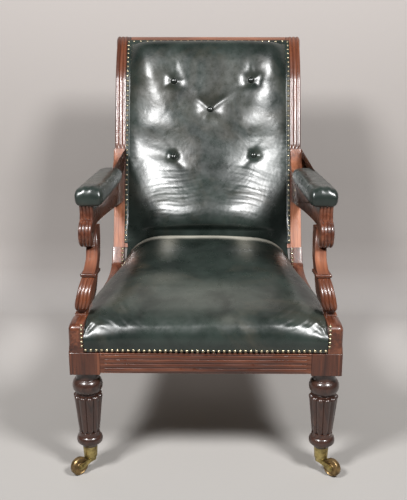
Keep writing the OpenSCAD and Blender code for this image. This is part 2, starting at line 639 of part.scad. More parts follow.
// Closed cushion from an upper and a lower sheet of points, both [row][column]
function sheet_index(rows, cols, sheet, r, c) = sheet * rows * cols + r * cols + c;
module cushion(upper, lower) {
    rows = len(upper);
    cols = len(upper[0]);
    pts = concat([for (r = [0:rows - 1]) for (c = [0:cols - 1]) upper[r][c]],
        [for (r = [0:rows - 1]) for (c = [0:cols - 1]) lower[r][c]]);
    tops = [for (r = [0:rows - 2]) for (c = [0:cols - 2]) let(a = sheet_index(rows, cols, 0, r, c))
        each [[a, a + cols, a + 1], [a + 1, a + cols, a + cols + 1]]];
    lows = [for (r = [0:rows - 2]) for (c = [0:cols - 2]) let(a = sheet_index(rows, cols, 1, r, c))
        each [[a, a + 1, a + cols], [a + 1, a + cols + 1, a + cols]]];
    ends = [for (c = [0:cols - 2]) for (e = [0, 1]) let(
        r = e * (rows - 1), a = sheet_index(rows, cols, 0, r, c), b = sheet_index(rows, cols, 1, r, c))
        each (e == 0 ? [[a, a + 1, b], [a + 1, b + 1, b]] : [[a, b, a + 1], [a + 1, b, b + 1]])];
    sides = [for (r = [0:rows - 2]) for (e = [0, 1]) let(
        c = e * (cols - 1), a = sheet_index(rows, cols, 0, r, c), b = sheet_index(rows, cols, 1, r, c))
        each (e == 0 ? [[a, b, a + cols], [a + cols, b, b + cols]]
            : [[a, a + cols, b], [a + cols, b + cols, b]])];
    polyhedron(pts, concat(tops, lows, ends, sides), convexity = 4);
}

// Arm pads: stuffed over the front of the arm, fuller in front, with a flat underside
pad_rows = 18;
pad_cols = 12;
pad_back_y = arm_back_y - arm_t * 3;
pad_front = arm_t * 0.25;
pad_len = pad_back_y - arm_front_y + pad_front;
function pad_end(t) = pow(1 - pow(abs(2 * t - 1), 7), 0.4);
function pad_point(r, c, top) = let(
    t = r / pad_rows, a = 180 * c / pad_cols,
    y = arm_front_y - pad_front + pad_len * t,
    half = pad_w / 2 * (1 - 0.08 * t) * (0.8 + 0.2 * pad_end(t)),
    x = -half * cos(a),
    z = arm_top_at(y) + touch + (top ? pad_h * (0.12 + 0.88 * pad_end(t)) * pow(sin(a), 0.6) + pad_h * 0.1 : 0))
    [x, y, z];
module arm_pad() {
    color(green_leather) seated() arm_turn()
        cushion([for (r = [0:pad_rows]) [for (c = [0:pad_cols]) pad_point(r, c, true)]],
            [for (r = [0:pad_rows]) [for (c = [0:pad_cols]) pad_point(r, c, false)]]);
}
module arm_pad_left() mirror([1, 0, 0]) arm_pad();
module arm_pad_right() arm_pad();

// Blocks glued into the corners of the seat frame
module corner_block(x, y, turn) translate([x, y, rail_z + rail_h * 0.2]) rotate([0, 0, turn])
    linear_extrude(rail_h * 0.6) polygon([[0, 0], [block_w * 0.7, 0], [0, block_w * 0.7]]);
module corner_blocks() {
    color(pale_wood) seated() for (side = [0, 1]) mirror([side, 0, 0]) {
        corner_block(block_x - block_w / 2 - touch, rail_t + touch, 90);
        corner_block(inside_x(back_rail_y) - ledge_w - touch * 4, back_rail_y - touch, 180);
    }
}

// Webbing and hessian under the seat stuffing
web_w = block_w * 0.7;
web_t = 1.2;
seat_half_back = inside_x(leg_face_y) - seat_gap;
web_ties = 4;
web_runs = 5;
module seat_webbing() {
    color(web_brown) seated() translate([0, 0, rail_top]) {
        for (i = [0:web_runs - 1]) {
            x = (i - (web_runs - 1) / 2) * 2 * front_rail_half / (web_runs + 0.4);
            translate([x - web_w / 2, rail_t * 0.3, 0])
                cube([web_w, back_rail_y + rail_t * 0.6 - rail_t * 0.3, web_t]);
        }
        for (i = [0:web_ties - 1]) {
            y = block_w * 1.9 + (leg_face_y - block_w * 2.6) * i / (web_ties - 1);
            half = inside_x(y + web_w / 2) - seat_gap;
            translate([-half, y - web_w / 2, 0]) cube([2 * half, web_w, web_t]);
        }
    }
}
hessian_z = rail_top + web_t;
module seat_hessian() {
    color(web_brown) seated() translate([0, 0, hessian_z]) linear_extrude(web_t)
        polygon([[-inside_x(rail_t) + seat_gap, rail_t * 0.2], [inside_x(rail_t) - seat_gap, rail_t * 0.2],
            [inside_x(leg_face_y) - seat_gap, leg_face_y - touch],
            [-inside_x(leg_face_y) + seat_gap, leg_face_y - touch]]);
}

// Seat: crowned, rolled over the front, bulging over the side rails
seat_base_z = hessian_z + web_t + seat_gap;
seat_back_y = joint_y - seat_gap * 4;
seat_rise = seat_crown_z - seat_base_z;
seat_profile_shares = [[0, 0.03], [0, 0.09], [-0.005, 0.13], [-0.008, 0.24], [-0.003, 0.37], [0.013, 0.5], [0.045, 0.61],
    [0.09, 0.7], [0.16, 0.785], [0.27, 0.87], [0.4, 0.935], [0.55, 0.98], [0.7, 1], [0.82, 1], [0.92, 0.992],
    [0.97, 0.965], [0.992, 0.91], [1, 0.8]];
seat_cols_shares = [-1, -0.97, -0.93, -0.86, -0.76, -0.62, -0.45, -0.25, 0, 0.25, 0.45, 0.62, 0.76, 0.86, 0.93,
    0.97, 1];
// Its bulge over the side rails: place as a share of their length, and share of the full bulge
bulge_shares = [[0.2, 0], [0.3, 0.5], [0.42, 1], [0.55, 0.95], [0.7, 0.65], [0.85, 0.42], [0.93, 0.3], [0.97, 0]];
function seat_bulge(y) = seat_swell * lookup(y / leg_face_y, bulge_shares);
// Half the seat's width: held between the arm feet in front, between the legs behind
function seat_half(t) = seat_hold(seat_back_y * max(t, 0)) + seat_bulge(seat_back_y * t);
function seat_hold(y) = (y < seat_back_y * 0.94 ? inside_x(y) : min(inside_x(y), back_x - back_leg_t) - collar)
    - seat_gap;
// Height of the seat's edge: low on the front roll, then just over the side rail
function seat_edge_z(t, h) = min(seat_base_z + seat_rise * h - seat_side_drop * h * h,
    inner_edge_z(max(seat_back_y * t, shoulder_y)) + seat_edge_lift);
function seat_point(t, h, u) = let(
    crown = seat_base_z + seat_rise * h,
    z = crown - (crown - seat_edge_z(t, h)) * pow(abs(u), 6))
    [u * seat_half(t), seat_back_y * t - (1 - u * u) * rail_reed_out * max(0, 1 - abs(t) * 10), z];
// The underside is a little hollow and its sides are drawn in
foot_step_share = 0.002;
function seat_foot(t, u) = let(
    y = seat_back_y * t,
    half = seat_hold(y) - seat_gap * (1 + sin(180 * t)))
    [u * half, y, seat_base_z + rail_reed_out * (1 - u * u) * sin(180 * t)];
// The tucked edge, where the leather turns in over the top of the side rail
function seat_tuck(t, h, side) = let(
    y = seat_back_y * max(t, 0.001),
    half = seat_hold(y),
    edge = seat_point(t, h, side),
    z = inner_edge_z(max(y, shoulder_y)) + touch * 3)
    [side * (half - seat_gap / 2), edge[1], min(z, edge[2] - nail_d * 0.2)];
module seat_cushion() {
    color(green_leather) seated()
        cushion([for (p = seat_profile_shares) concat([seat_tuck(p[0], p[1], left)],
                [for (u = seat_cols_shares) seat_point(p[0], p[1], u)], [seat_tuck(p[0], p[1], right)])],
            [for (k = [0:len(seat_profile_shares) - 1])
                let(t = max(seat_profile_shares[k][0], (k + 1) * foot_step_share))
                concat([seat_foot(t, left)], [for (u = seat_cols_shares) seat_foot(t, u * 0.99)],
                    [seat_foot(t, right)])]);
}

// Inside back: a tufted pad between the stiles, its edges nailed into their rebates
back_low_s = stile_len * 0.02;
back_len = leather_top_s - touch - back_low_s;
pad_half = stile_in - seat_gap;
flange_half = stile_in + rebate_w - seat_gap;
flange_t = rebate_t - touch;
// Buttons: place across X and height, as shares of the half width and of the leather's length
button_shares = [[-0.43, 0.766], [0.545, 0.771], [0.03, 0.631], [-0.43, 0.405], [0.58, 0.414]];
function hollow(x, s) = max([for (b = button_shares) let(
    d = norm([x - b[0] * pad_half, s - back_low_s - b[1] * back_len]) / button_reach)
    exp(-d * d * 1.6)]);
function plump(x, s) = let(
    u = min(abs(x) / pad_half, 1), v = (s - back_low_s) / back_len, w = min(1, max(0, 2 * v - 1) / 0.943),
    full = (1 - pow(u, 4)) * (1 - pow(w, 8)) * (v < 0.08 ? 0.55 + 0.45 * sin(90 * v / 0.08) : 1))
    back_bulge * full - button_dip * hollow(x, s) * min(1, full * 2);
back_rows_shares = [0, 0.08, 0.2, 0.33, 0.38, 0.414, 0.48, 0.58, 0.631, 0.675, 0.732, 0.77, 0.83, 0.8895, 0.917,
    0.945, 0.972, 1];
back_cols_shares = [0, 0.06, 0.14, 0.26, 0.36, 0.43, 0.5, 0.56, 0.64, 0.76, 0.87, 0.94, 0.98];
step_half = stile_in - seat_gap / 4;
back_xs = concat([-flange_half, -step_half, -pad_half], [for (u = flip(tail(back_cols_shares))) -u * pad_half],
    [for (u = back_cols_shares) u * pad_half], [pad_half, step_half, flange_half]);
function back_point(x, s, out) = let(p = off_line(s, out)) [x, p[0], p[1]];
// The lowest part is pressed flat against the back of the seat
function pressed(out, s) = min(out, (line_at(s)[0] - seat_back_y - 2 * seat_gap) / cos(rake_at(s)));
function back_front(x, s) = back_point(x, s, pressed(rebate_t * 0.2 + plump(x, s), s));
function back_rear(x, s, last) = back_point(x, s,
    abs(x) > pad_half + seat_gap / 4 ? -flange_t : -back_depth + (last ? touch : 0));
// Below the stiles the leather is pulled down behind the seat, in two more rows
pull_z = seat_base_z + seat_rise * 0.3;
pull_y = seat_back_y + 2 * seat_gap;
pull_step = touch * 5;
function pull_x(x) = sign(x) * min(abs(x), pad_half + seat_gap * (abs(x) > step_half ? 0.7 : 0.35));
function pull_point(x, low, rear) = let(p = rear ? back_rear(x, back_low_s, false) : back_front(x, back_low_s))
    low ? [pull_x(x), pull_y + (rear ? back_depth * 0.4 : 0), pull_z]
        : [pull_x(x), p[1] - (rear ? pull_step : 0), p[2] - pull_step];
module back_cushion() {
    color(green_leather) seated()
        cushion(concat([for (low = [true, false]) [for (x = back_xs) pull_point(x, low, false)]],
                [for (v = back_rows_shares) [for (x = back_xs) back_front(x, back_low_s + back_len * v)]]),
            concat([for (low = [true, false]) [for (x = back_xs) pull_point(x, low, true)]],
                [for (v = back_rows_shares) [for (x = back_xs) back_rear(x, back_low_s + back_len * v, v == 1)]]));
}
button_sink = 0.42;
module back_buttons() {
    color(green_leather) seated() for (b = button_shares) {
        x = b[0] * pad_half;
        s = back_low_s + b[1] * back_len;
        p = off_line(s, rebate_t * 0.2 + plump(x, s) + button_dip * 0.27);
        translate([x, p[0], p[1]]) rotate([90 - rake_at(s), 0, 0]) intersection() {
            translate([0, 0, -button_d * 0.1]) sphere(r = button_d / 2);
            translate([0, 0, button_d * button_sink]) cube(button_d * 2 * button_sink, center = true);
        }
    }
}
back_webs = 4;
back_ties = 5;
module back_webbing() {
    color(web_brown) seated() {
        first = -back_depth - touch * 3;
        for (i = [0:back_webs - 1]) {
            x = (i - (back_webs - 1) / 2) * stile_in * 0.48;
            board(x, web_w) polygon(concat(run_line(lower_rail_e + touch, crest_low_s - touch, first, 14),
                flip(run_line(lower_rail_e + touch, crest_low_s - touch, first - web_t, 14))));
        }
        for (i = [0:back_ties - 1]) {
            s = lower_rail_e + (crest_low_s - lower_rail_e) * (i + 0.75) / (back_ties + 0.5);
            board(0, 2 * (stile_in - touch)) polygon(concat(run_line(s - web_w / 2, s + web_w / 2, first, 3),
                flip(run_line(s - web_w / 2, s + web_w / 2, first - web_t, 3))));
        }
    }
}
out_low_s = 0;
out_high_s = stile_len * 0.885;
out_t = 2.4;
module outside_back() {
    color(green_leather) seated() board(0, 2 * (stile_in - seat_gap))
        polygon(concat(run_line(out_low_s, out_high_s, -stile_t + out_t + touch, 28),
            flip(run_line(out_low_s, out_high_s, -stile_t + touch, 28))));
}

// Dome-headed nails
nail_rise = nail_d * 0.32;
nail_sphere = (nail_d * nail_d / 4 + nail_rise * nail_rise) / (2 * nail_rise);
module nail() intersection() {
    translate([0, 0, nail_rise - nail_sphere]) sphere(r = nail_sphere, $fn = 24);
    translate([0, 0, nail_rise]) cube([nail_d * 2, nail_d * 2, 2 * nail_rise], center = true);
}
front_nail_z = seat_base_z + nail_d * 0.67;
front_nail_half = inside_x(0) - nail_d * 0.6;
front_nail_gaps = round(2 * front_nail_half / front_nail_pitch);
module front_nails() {
    color(old_brass) seated() for (i = [0:front_nail_gaps]) {
        x = -front_nail_half + 2 * front_nail_half * i / front_nail_gaps;
        u = x / (inside_x(0) - seat_gap);
        translate([x, -rail_reed_out * (1 - u * u) - touch * 3, front_nail_z]) rotate([90, 0, 0]) nail();
    }
}
// Up the front edge of the leather beside the arm's foot, then along the rail and up the back leg
foot_nails = 6;
side_nails = 4;
foot_line = concat([[0, rail_top]], [for (i = [0:6]) [max(0, rail_curve[i][0] - inner_shift), rail_curve[i][1]]]);
foot_steps = step_lengths(foot_line);
foot_ys = [for (i = [0:len(foot_line) - 1]) [sum_to(foot_steps, i), foot_line[i][0]]];
foot_zs = [for (i = [0:len(foot_line) - 1]) [sum_to(foot_steps, i), foot_line[i][1]]];
function foot_at(s) = [lookup(s, foot_ys), lookup(s, foot_zs)];
module side_nail_set() {
    for (i = [1:foot_nails]) {
        s = front_nail_z - rail_top + i * front_nail_pitch * 0.84;
        p = foot_at(s);
        d = foot_at(s + nail_d / 4) - foot_at(s - nail_d / 4);
        translate([inside_x(0) + nail_d * 0.55, p[0], p[1]]) rotate([atan2(d[1], d[0]), 0, 0])
            translate([0, 0, touch * 2]) nail();
    }
    for (i = [0:side_nails - 1]) {
        y = leg_face_y - nail_d * 1.3 - side_nail_pitch * 0.8 * i;
        rise = inner_edge_z(y + nail_d / 4) - inner_edge_z(y - nail_d / 4);
        translate([inside_x(y) + seat_bulge(y) + nail_d * 0.6, y, inner_edge_z(y)])
            rotate([atan(2 * rise / nail_d), 0, 0]) translate([0, 0, touch * 2]) nail();
    }
    for (i = [0:len(leg_top_line) - 2]) {
        d = leg_top_line[i + 1] - leg_top_line[i];
        p = leg_top_line[i] + d / 2;
        translate([back_x - back_leg_t + collar + nail_d * 0.6, p[0], p[1]]) rotate([90 - atan2(d[0], d[1]), 0, 0])
            translate([0, 0, touch]) nail();
    }
}
module side_nails_left() color(old_brass) seated() mirror([1, 0, 0]) side_nail_set();
module side_nails_right() color(old_brass) seated() side_nail_set();

back_nail_x = stile_in + rebate_w - nail_d * 0.55;
back_nail_gaps = round((leather_top_s - back_low_s - 2 * nail_d) / side_nail_pitch);
module back_nail_set() for (i = [0:back_nail_gaps]) {
    s = back_low_s + nail_d + (leather_top_s - back_low_s - 2 * nail_d) * i / back_nail_gaps;
    p = off_line(s, rebate_t * 0.2 + touch);
    translate([back_nail_x, p[0], p[1]]) rotate([90 - rake_at(s), 0, 0]) nail();
}
module back_nails_left() color(old_brass) seated() mirror([1, 0, 0]) back_nail_set();
module back_nails_right() color(old_brass) seated() back_nail_set();
crest_nail_half = back_nail_x - side_nail_pitch;
crest_nail_gaps = round(2 * crest_nail_half / crest_nail_pitch);
module crest_nails() {
    color(old_brass) seated() for (i = [0:crest_nail_gaps]) {
        s = leather_top_s - nail_d * 0.65;
        x = -crest_nail_half + 2 * crest_nail_half * i / crest_nail_gaps;
        p = off_line(s, rebate_t * 0.2 + plump(x, s) + touch);
        translate([x, p[0], p[1]]) rotate([90 - rake_at(s), 0, 0]) nail();
    }
}
module outside_back_nails() {
    color(old_brass) seated() for (side = [0, 1]) mirror([side, 0, 0]) for (i = [0:back_nail_gaps]) {
        s = out_low_s + nail_d + (out_high_s - out_low_s - 2 * nail_d) * i / back_nail_gaps;
        p = off_line(s, -stile_t - touch);
        translate([stile_in - nail_d * 0.7, p[0], p[1]]) rotate([-90 - rake_at(s), 0, 0]) nail();
    }
}

// Castors: [x, y, heading], where the heading is the way the horn trails
corners = ["front_left", "front_right", "back_left", "back_right"];
castor_places = [
    [-block_x, block_y, 180 + front_heading], [block_x, block_y, -front_heading],
    [-back_leg_x, back_foot_y, 180 - back_heading], [back_leg_x, back_foot_y, back_heading]];
module at_castor(i) seated() translate([castor_places[i][0], castor_places[i][1], 0])
    rotate([0, 0, castor_places[i][2]]) children();
horn_top = cup_z - touch;
horn_t = 6.5;
boss_r = wheel_d * 0.3;
cheek_mid = wheel_t / 2 + cheek_gap + cheek_t / 2;
module castor_cup(i) color(old_brass) at_castor(i) difference() {
    translate([0, 0, cup_z]) rotate_extrude() polygon([[0, 0], [cup_d * 0.4, 0], [cup_d * 0.455, cup_h * 0.1],
        [cup_d / 2, cup_h], [0, cup_h]]);
    translate([0, 0, cup_top - cup_h * 0.3 - touch]) cylinder(r = tenon_r + tenon_gap, h = cup_h);
    translate([0, 0, cup_z - over]) cylinder(r = pin_d / 2 + pin_gap, h = cup_h * 0.6);
}
module cheek_plate() linear_extrude(cheek_t, center = true) polygon(concat(
    [[-boss_r * 0.5, horn_top - wheel_d / 2], [trail * 0.2, horn_top - wheel_d / 2]],
    [for (a = [75:-30:-105]) [trail + axle_d * 1.25 * cos(a), axle_d * 1.25 * sin(a)]],
    [[trail * 0.35, horn_top - horn_t - wheel_d / 2 - axle_d * 0.8],
     [-boss_r * 0.5, horn_top - horn_t - wheel_d / 2]]));
module castor_horn(i) color(old_brass) at_castor(i) {
    difference() {
        union() {
            translate([0, 0, horn_top - horn_t]) cylinder(r = boss_r, h = horn_t);
            for (side = [left, right]) {
                translate([0, side * cheek_mid, wheel_d / 2]) rotate([90, 0, 0]) cheek_plate();
            }
        }
        translate([trail, 0, wheel_d / 2]) rotate([90, 0, 0])
            cylinder(r = axle_d / 2 + touch / 10, h = 4 * wheel_t, center = true);
        translate([trail, 0, wheel_d / 2]) rotate([90, 0, 0])
            cylinder(r = wheel_d / 2 + cheek_gap, h = wheel_t + 2 * cheek_gap, center = true);
    }
    translate([0, 0, horn_top - over]) cylinder(r = pin_d / 2, h = over + touch + cup_h * 0.55 - 2 * over);
}
module castor_wheel(i) color(old_brass) at_castor(i) translate([trail, 0, wheel_d / 2]) rotate([90, 0, 0])
    rotate_extrude($fn = 72) polygon([[axle_d / 2 + axle_gap, -wheel_t / 2], [wheel_d * 0.2, -wheel_t / 2],
        [wheel_d * 0.23, -wheel_t * 0.36], [wheel_d * 0.38, -wheel_t * 0.36], [wheel_d * 0.42, -wheel_t * 0.46],
        [wheel_d * 0.47, -wheel_t * 0.42], [wheel_d / 2, -wheel_t * 0.25], [wheel_d / 2, wheel_t * 0.25],
        [wheel_d * 0.47, wheel_t * 0.42], [wheel_d * 0.42, wheel_t * 0.46], [wheel_d * 0.38, wheel_t * 0.36],
        [wheel_d * 0.23, wheel_t * 0.36], [wheel_d * 0.2, wheel_t / 2], [axle_d / 2 + axle_gap, wheel_t / 2]]);
axle_len = wheel_t + 2 * cheek_gap + 2 * cheek_t;
module castor_axle(i) color(old_brass) at_castor(i) translate([trail, 0, wheel_d / 2]) rotate([90, 0, 0]) {
    cylinder(r = axle_d / 2, h = axle_len + 2 * touch, center = true);
    for (side = [left, right]) {
        translate([0, 0, side * (axle_len / 2 + touch + cheek_t / 4)])
            cylinder(r = axle_d * 0.8, h = cheek_t / 2, center = true);
    }
}

front_rail();
back_rail();
side_rail_left();
side_rail_right();
front_leg_left();
front_leg_right();
back_leg_left();
back_leg_right();
back_stile_left();
back_stile_right();
crest_rail();
lower_back_rail();
arm_left();
arm_right();
arm_support_left();
arm_support_right();
arm_pad_left();
arm_pad_right();
corner_blocks();
seat_webbing();
seat_hessian();
seat_cushion();
back_webbing();
back_cushion();
back_buttons();
outside_back();
front_nails();
side_nails_left();
side_nails_right();
back_nails_left();
back_nails_right();
crest_nails();
outside_back_nails();
for (i = [0:3]) {
    castor_cup(i);
    castor_horn(i);
    castor_wheel(i);
    castor_axle(i);
}
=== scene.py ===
"""Library chair: the finished model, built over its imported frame.

Lengths in the builders are in millimetres: x from the middle of the chair, y back from
the front face of the front rail and z up from the floor. to_frame() turns them into
metres in the frame, whose origin lies under the middle of the chair. Each sub-assembly
is a class that makes its meshes as parametric grids and dresses them.
"""

import logging
import math
from collections.abc import Callable, Sequence
from dataclasses import dataclass, field
from enum import Enum

import bmesh
import bpy
import numpy as np
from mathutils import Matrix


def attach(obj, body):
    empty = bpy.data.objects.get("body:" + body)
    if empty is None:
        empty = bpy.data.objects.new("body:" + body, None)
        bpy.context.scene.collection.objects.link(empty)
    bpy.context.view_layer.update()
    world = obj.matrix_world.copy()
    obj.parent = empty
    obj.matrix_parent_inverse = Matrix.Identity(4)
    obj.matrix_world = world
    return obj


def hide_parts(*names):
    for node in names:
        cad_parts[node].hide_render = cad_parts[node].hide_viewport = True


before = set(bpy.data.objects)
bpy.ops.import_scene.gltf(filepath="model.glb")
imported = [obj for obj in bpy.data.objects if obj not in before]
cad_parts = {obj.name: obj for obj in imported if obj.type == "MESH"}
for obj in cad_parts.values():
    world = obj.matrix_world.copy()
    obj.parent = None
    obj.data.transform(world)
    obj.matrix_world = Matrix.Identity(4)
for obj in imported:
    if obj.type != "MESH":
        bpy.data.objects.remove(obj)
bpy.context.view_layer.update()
LOG = logging.getLogger("library_chair")

MM = 0.001
Points = np.ndarray
Value = Points | float
Row = Sequence[float]
Relief = Callable[[Points, Points], Points]
Colour = tuple[float, float, float]
Socket = bpy.types.NodeSocket
Inputs = dict[str | int, object]


class Side(Enum):
    """The chair's sides, as seen from the front."""

    LEFT = -1
    RIGHT = 1

    @property
    def word(self) -> str:
        """The side's name as the frame's nodes write it."""
        return self.name.lower()


class Grain(Enum):
    """The way the wood's grain runs through a piece: the order of its coordinates."""

    ACROSS = (0, 1, 2)
    BACK = (1, 0, 2)
    UP = (2, 0, 1)


@dataclass(frozen=True)
class Sizes:
    """The chair's driving sizes, in millimetres and degrees, as the CAD model has them."""

    seat_w: float = 664.0
    joint_y: float = 549.0
    joint_z: float = 436.0
    overall_h: float = 1020.0
    scroll_y: float = 850.0
    back_w: float = 557.0
    rail_z: float = 288.0
    rail_h: float = 54.0
    rail_t: float = 28.0
    side_t: float = 37.0
    shoulder_z: float = 419.0
    dip_z: float = 369.0
    block_w: float = 75.0
    block_drop: float = 5.0
    reed_out: float = 2.5
    stile_w: float = 42.0
    stile_t: float = 34.0
    rebate_w: float = 10.0
    rebate_t: float = 3.0
    foot_rake: float = 26.0
    top_rake: float = 20.0
    scroll_r: float = 28.0
    arm_t: float = 34.0
    arm_back_x: float = 264.0
    arm_front_x: float = 296.0
    arm_front_y: float = 135.0
    arm_top_z: float = 682.0
    volute_r: float = 36.0
    pad_w: float = 74.0
    pad_h: float = 33.0
    lean: float = 10.0
    back_foot_y: float = 695.0
    back_leg_t: float = 34.0
    back_foot_t: float = 34.0
    cup_top: float = 71.0
    mid_y: float = 435.484
    tenon_r: float = 13.0
    tenon_len: float = 8.5
    soft_gap: float = 0.4
    web_t: float = 1.2

    @property
    def rail_top(self) -> float:
        """Height of the top of the seat rails."""
        return self.rail_z + self.rail_h

    @property
    def back_x(self) -> float:
        """Half the width over the back stiles."""
        return self.back_w / 2

    @property
    def stile_in(self) -> float:
        """Distance from the middle to the inner face of a stile."""
        return self.back_x - self.stile_w

    @property
    def leg_face_y(self) -> float:
        """Where the front face of a back leg meets the side rail."""
        return self.joint_y - self.stile_t * 0.85

    @property
    def lap_y(self) -> float:
        """Where a side rail's rounded shoulder becomes level."""
        return self.joint_y * 0.09

    @property
    def sweep_z(self) -> float:
        """Height at which a side rail sweeps into the back leg."""
        return self.dip_z + (self.joint_z - self.dip_z) * 0.42

    @property
    def plan_slope(self) -> float:
        """How much a side rail draws in for each length back."""
        return (self.seat_w / 2 - self.back_x - 0.3) / self.joint_y

    def inside_x(self, y: Value) -> Value:
        """Half the width inside the side rails at a distance back."""
        slope = self.plan_slope
        return self.seat_w / 2 - self.side_t * math.hypot(1, slope) - y * slope

    def arm_top_at(self, y: Value) -> Value:
        """Height of an arm's top edge at a distance back, 4 degrees down from its front."""
        return self.arm_top_z - (y - self.arm_front_y) * math.tan(math.radians(4))


SIZE = Sizes()


def to_frame(points: Points) -> Points:
    """Rows of chair millimetres as metres in the frame."""
    return (points - np.array([0.0, SIZE.mid_y, 0.0])) * MM


def raked(angle: float) -> Points:
    """The unit step along a line that leans back by an angle from upright."""
    return np.array([math.sin(math.radians(angle)), math.cos(math.radians(angle))])


def behind(angle: float) -> Points:
    """The unit step to the back of a line that leans back by an angle."""
    return np.array([math.cos(math.radians(angle)), -math.sin(math.radians(angle))])


def bezier(ends: Sequence[Row], steps: int) -> Points:
    """Points along a cubic curve, the sum of its four corners weighted by Bernstein terms.

    Args:
        ends: The four control points.
        steps: How many steps the curve is cut into.

    Returns:
        The points, one row each.
    """
    p = np.asarray(ends, float)
    t = np.linspace(0, 1, steps + 1)[:, None]
    s = 1 - t
    return p[0] * s**3 + 3 * p[1] * s * s * t + 3 * p[2] * s * t * t + p[3] * t**3


def arc(centre: Row, radius: float, start: float, stop: float, steps: int) -> Points:
    """Points on a circle between two angles in degrees."""
    a = np.radians(np.linspace(start, stop, steps + 1))
    return np.asarray(centre, float) + radius * np.stack([np.cos(a), np.sin(a)], 1)


def chain(*runs: Points | Sequence[Row]) -> Points:
    """Runs of points one after another, without the doubled ones where they meet."""
    line = np.concatenate([np.atleast_2d(np.asarray(r, float)) for r in runs])
    keep = np.ones(len(line), bool)
    keep[1:] = np.linalg.norm(np.diff(line, axis=0), axis=1) > MM
    return line[keep]


def closer(line: Points, step: float) -> Points:
    """A line with points added, so that no step is longer than asked for.

    Args:
        line: The points of the line.
        step: The longest step wanted.

    Returns:
        The points with the added ones between them.
    """
    parts = []
    for a, b in zip(line[:-1], line[1:]):
        count = max(1, math.ceil(np.linalg.norm(b - a) / step))
        parts.append(a + (b - a) * np.linspace(0, 1, count, endpoint=False)[:, None])
    return np.concatenate([*parts, line[-1:]])


def straight(step: float, *corners: Row) -> Points:
    """Straight runs from corner to corner, in steps no longer than asked for."""
    return closer(np.array(corners, float), step)


def run_length(line: Points) -> Points:
    """Distance along a line at each of its points."""
    return np.concatenate([[0.0], np.cumsum(np.linalg.norm(np.diff(line, axis=0), axis=1))])


def spread(line: Points, count: int) -> Points:
    """A line cut into equal steps."""
    s = run_length(line)
    at = np.linspace(0, s[-1], count)
    return np.stack([np.interp(at, s, line[:, k]) for k in range(line.shape[1])], 1)


def evened(values: Points, window: Points) -> Points:
    """Values averaged over a window of weights, with the end values carried on."""
    pad = len(window) // 2
    return np.convolve(np.pad(values, pad, mode="edge"), window / window.sum(), mode="valid")


def smooth_step(x: Value, start: float, stop: float) -> Value:
    """A step that rises from 0 at start to 1 at stop with level ends."""
    t = np.clip((np.asarray(x, float) - start) / (stop - start), 0, 1)
    return t * t * (3 - 2 * t)


def hill(x: Value, top: float, width: float) -> Value:
    """A bell-shaped hill of height 1 round its top."""
    return np.exp(-(((x - top) / width) ** 2))


def rounding(x: Value, radius: float) -> Value:
    """A quarter circle's rise from 0 to 1 over a radius."""
    return np.sqrt(1 - (1 - np.clip(x / radius, 0, 1)) ** 2)


def reed(share: Points) -> Points:
    """The rise of a row of reeds, an ellipse's upper part: 1 on a crown, 0 in a groove.

    Args:
        share: Place across the reeds, one whole number to a reed.

    Returns:
        The rise.
    """
    w = 2 * (share - np.floor(share)) - 1
    low = math.sqrt(0.1)
    return (np.sqrt(1 - 0.9 * w * w) - low) / (1 - low)


def sine_row(count: int, share: float) -> Points:
    """Places from -1 to 1 that crowd towards both ends, by a share of a quarter sine."""
    turn = math.pi / 2 * share
    return np.sin(np.linspace(-1, 1, count) * turn) / math.sin(turn)


def waves(a: Points, b: Points, *terms: Row) -> Points:
    """A sum of slow sine waves over two coordinates, for the unevenness of stuffed work.

    Args:
        a: The first coordinate.
        b: The second.
        terms: For each wave its turn along a, along b, its phase and its height.

    Returns:
        The summed height.
    """
    return sum(height * np.sin(a * across + b * along + phase) for across, along, phase, height in terms)


class StileLine:
    """The front line of a back stile in the side view, run on round its scroll."""

    def __init__(self) -> None:
        """Draws the line from the foot through the shoulder to the scroll's top."""
        foot = np.array([SIZE.joint_y, SIZE.joint_z])
        top = np.array([SIZE.scroll_y, SIZE.overall_h])
        shoulder = foot + (top - foot) * np.array([0.65, 0.792])
        low = (shoulder[1] - foot[1]) * 0.343 * raked(SIZE.top_rake)
        foot_pull = (shoulder[1] - foot[1]) * 0.343 * raked(SIZE.foot_rake)
        neck = (top[1] - shoulder[1]) * 0.42 * raked(SIZE.top_rake)
        over = (top[0] - shoulder[0]) * 0.27 * raked(82)
        self.points = chain(
            bezier([foot, foot + foot_pull, shoulder - low, shoulder], 80),
            bezier([shoulder, shoulder + neck, top - over, top], 60),
        )
        self.s = run_length(self.points)
        self.length = float(self.s[-1])
        self.centre = np.array([SIZE.scroll_y, SIZE.overall_h - SIZE.scroll_r])

    def at(self, s: Value) -> Points:
        """Points of the line at distances from its foot, past the top round the scroll."""
        s = np.atleast_1d(np.asarray(s, float))
        flat = np.stack([np.interp(s, self.s, self.points[:, k]) for k in (0, 1)], 1)
        turn = (s - self.length) / SIZE.scroll_r
        ring = self.centre + SIZE.scroll_r * np.stack([np.sin(turn), np.cos(turn)], 1)
        return np.where((s > self.length)[:, None], ring, flat)

    def back(self, s: Value) -> Points:
        """The unit step to the back of the line at distances from its foot."""
        s = np.atleast_1d(np.asarray(s, float))
        reach = self.length / 90
        step = self.at(s + reach) - self.at(np.maximum(s - reach, 0))
        step /= np.linalg.norm(step, axis=1)[:, None]
        return np.stack([step[:, 1], -step[:, 0]], 1)

    def off(self, s: Value, out: Value) -> Points:
        """Points standing out in front of the line, or behind it where out is negative."""
        out = np.broadcast_to(np.asarray(out, float), np.shape(np.atleast_1d(s)))
        return self.at(s) - out[:, None] * self.back(s)


STILE = StileLine()
BACK_LOW = STILE.length * 0.02
LEATHER_TOP = STILE.length * 0.97
BACK_LEN = LEATHER_TOP - 0.3 - BACK_LOW
# Places of the buttons: shares of half the pad's width and of its height
BUTTONS = ((-0.43, 0.766), (0.545, 0.771), (0.03, 0.631), (-0.43, 0.405), (0.58, 0.414))


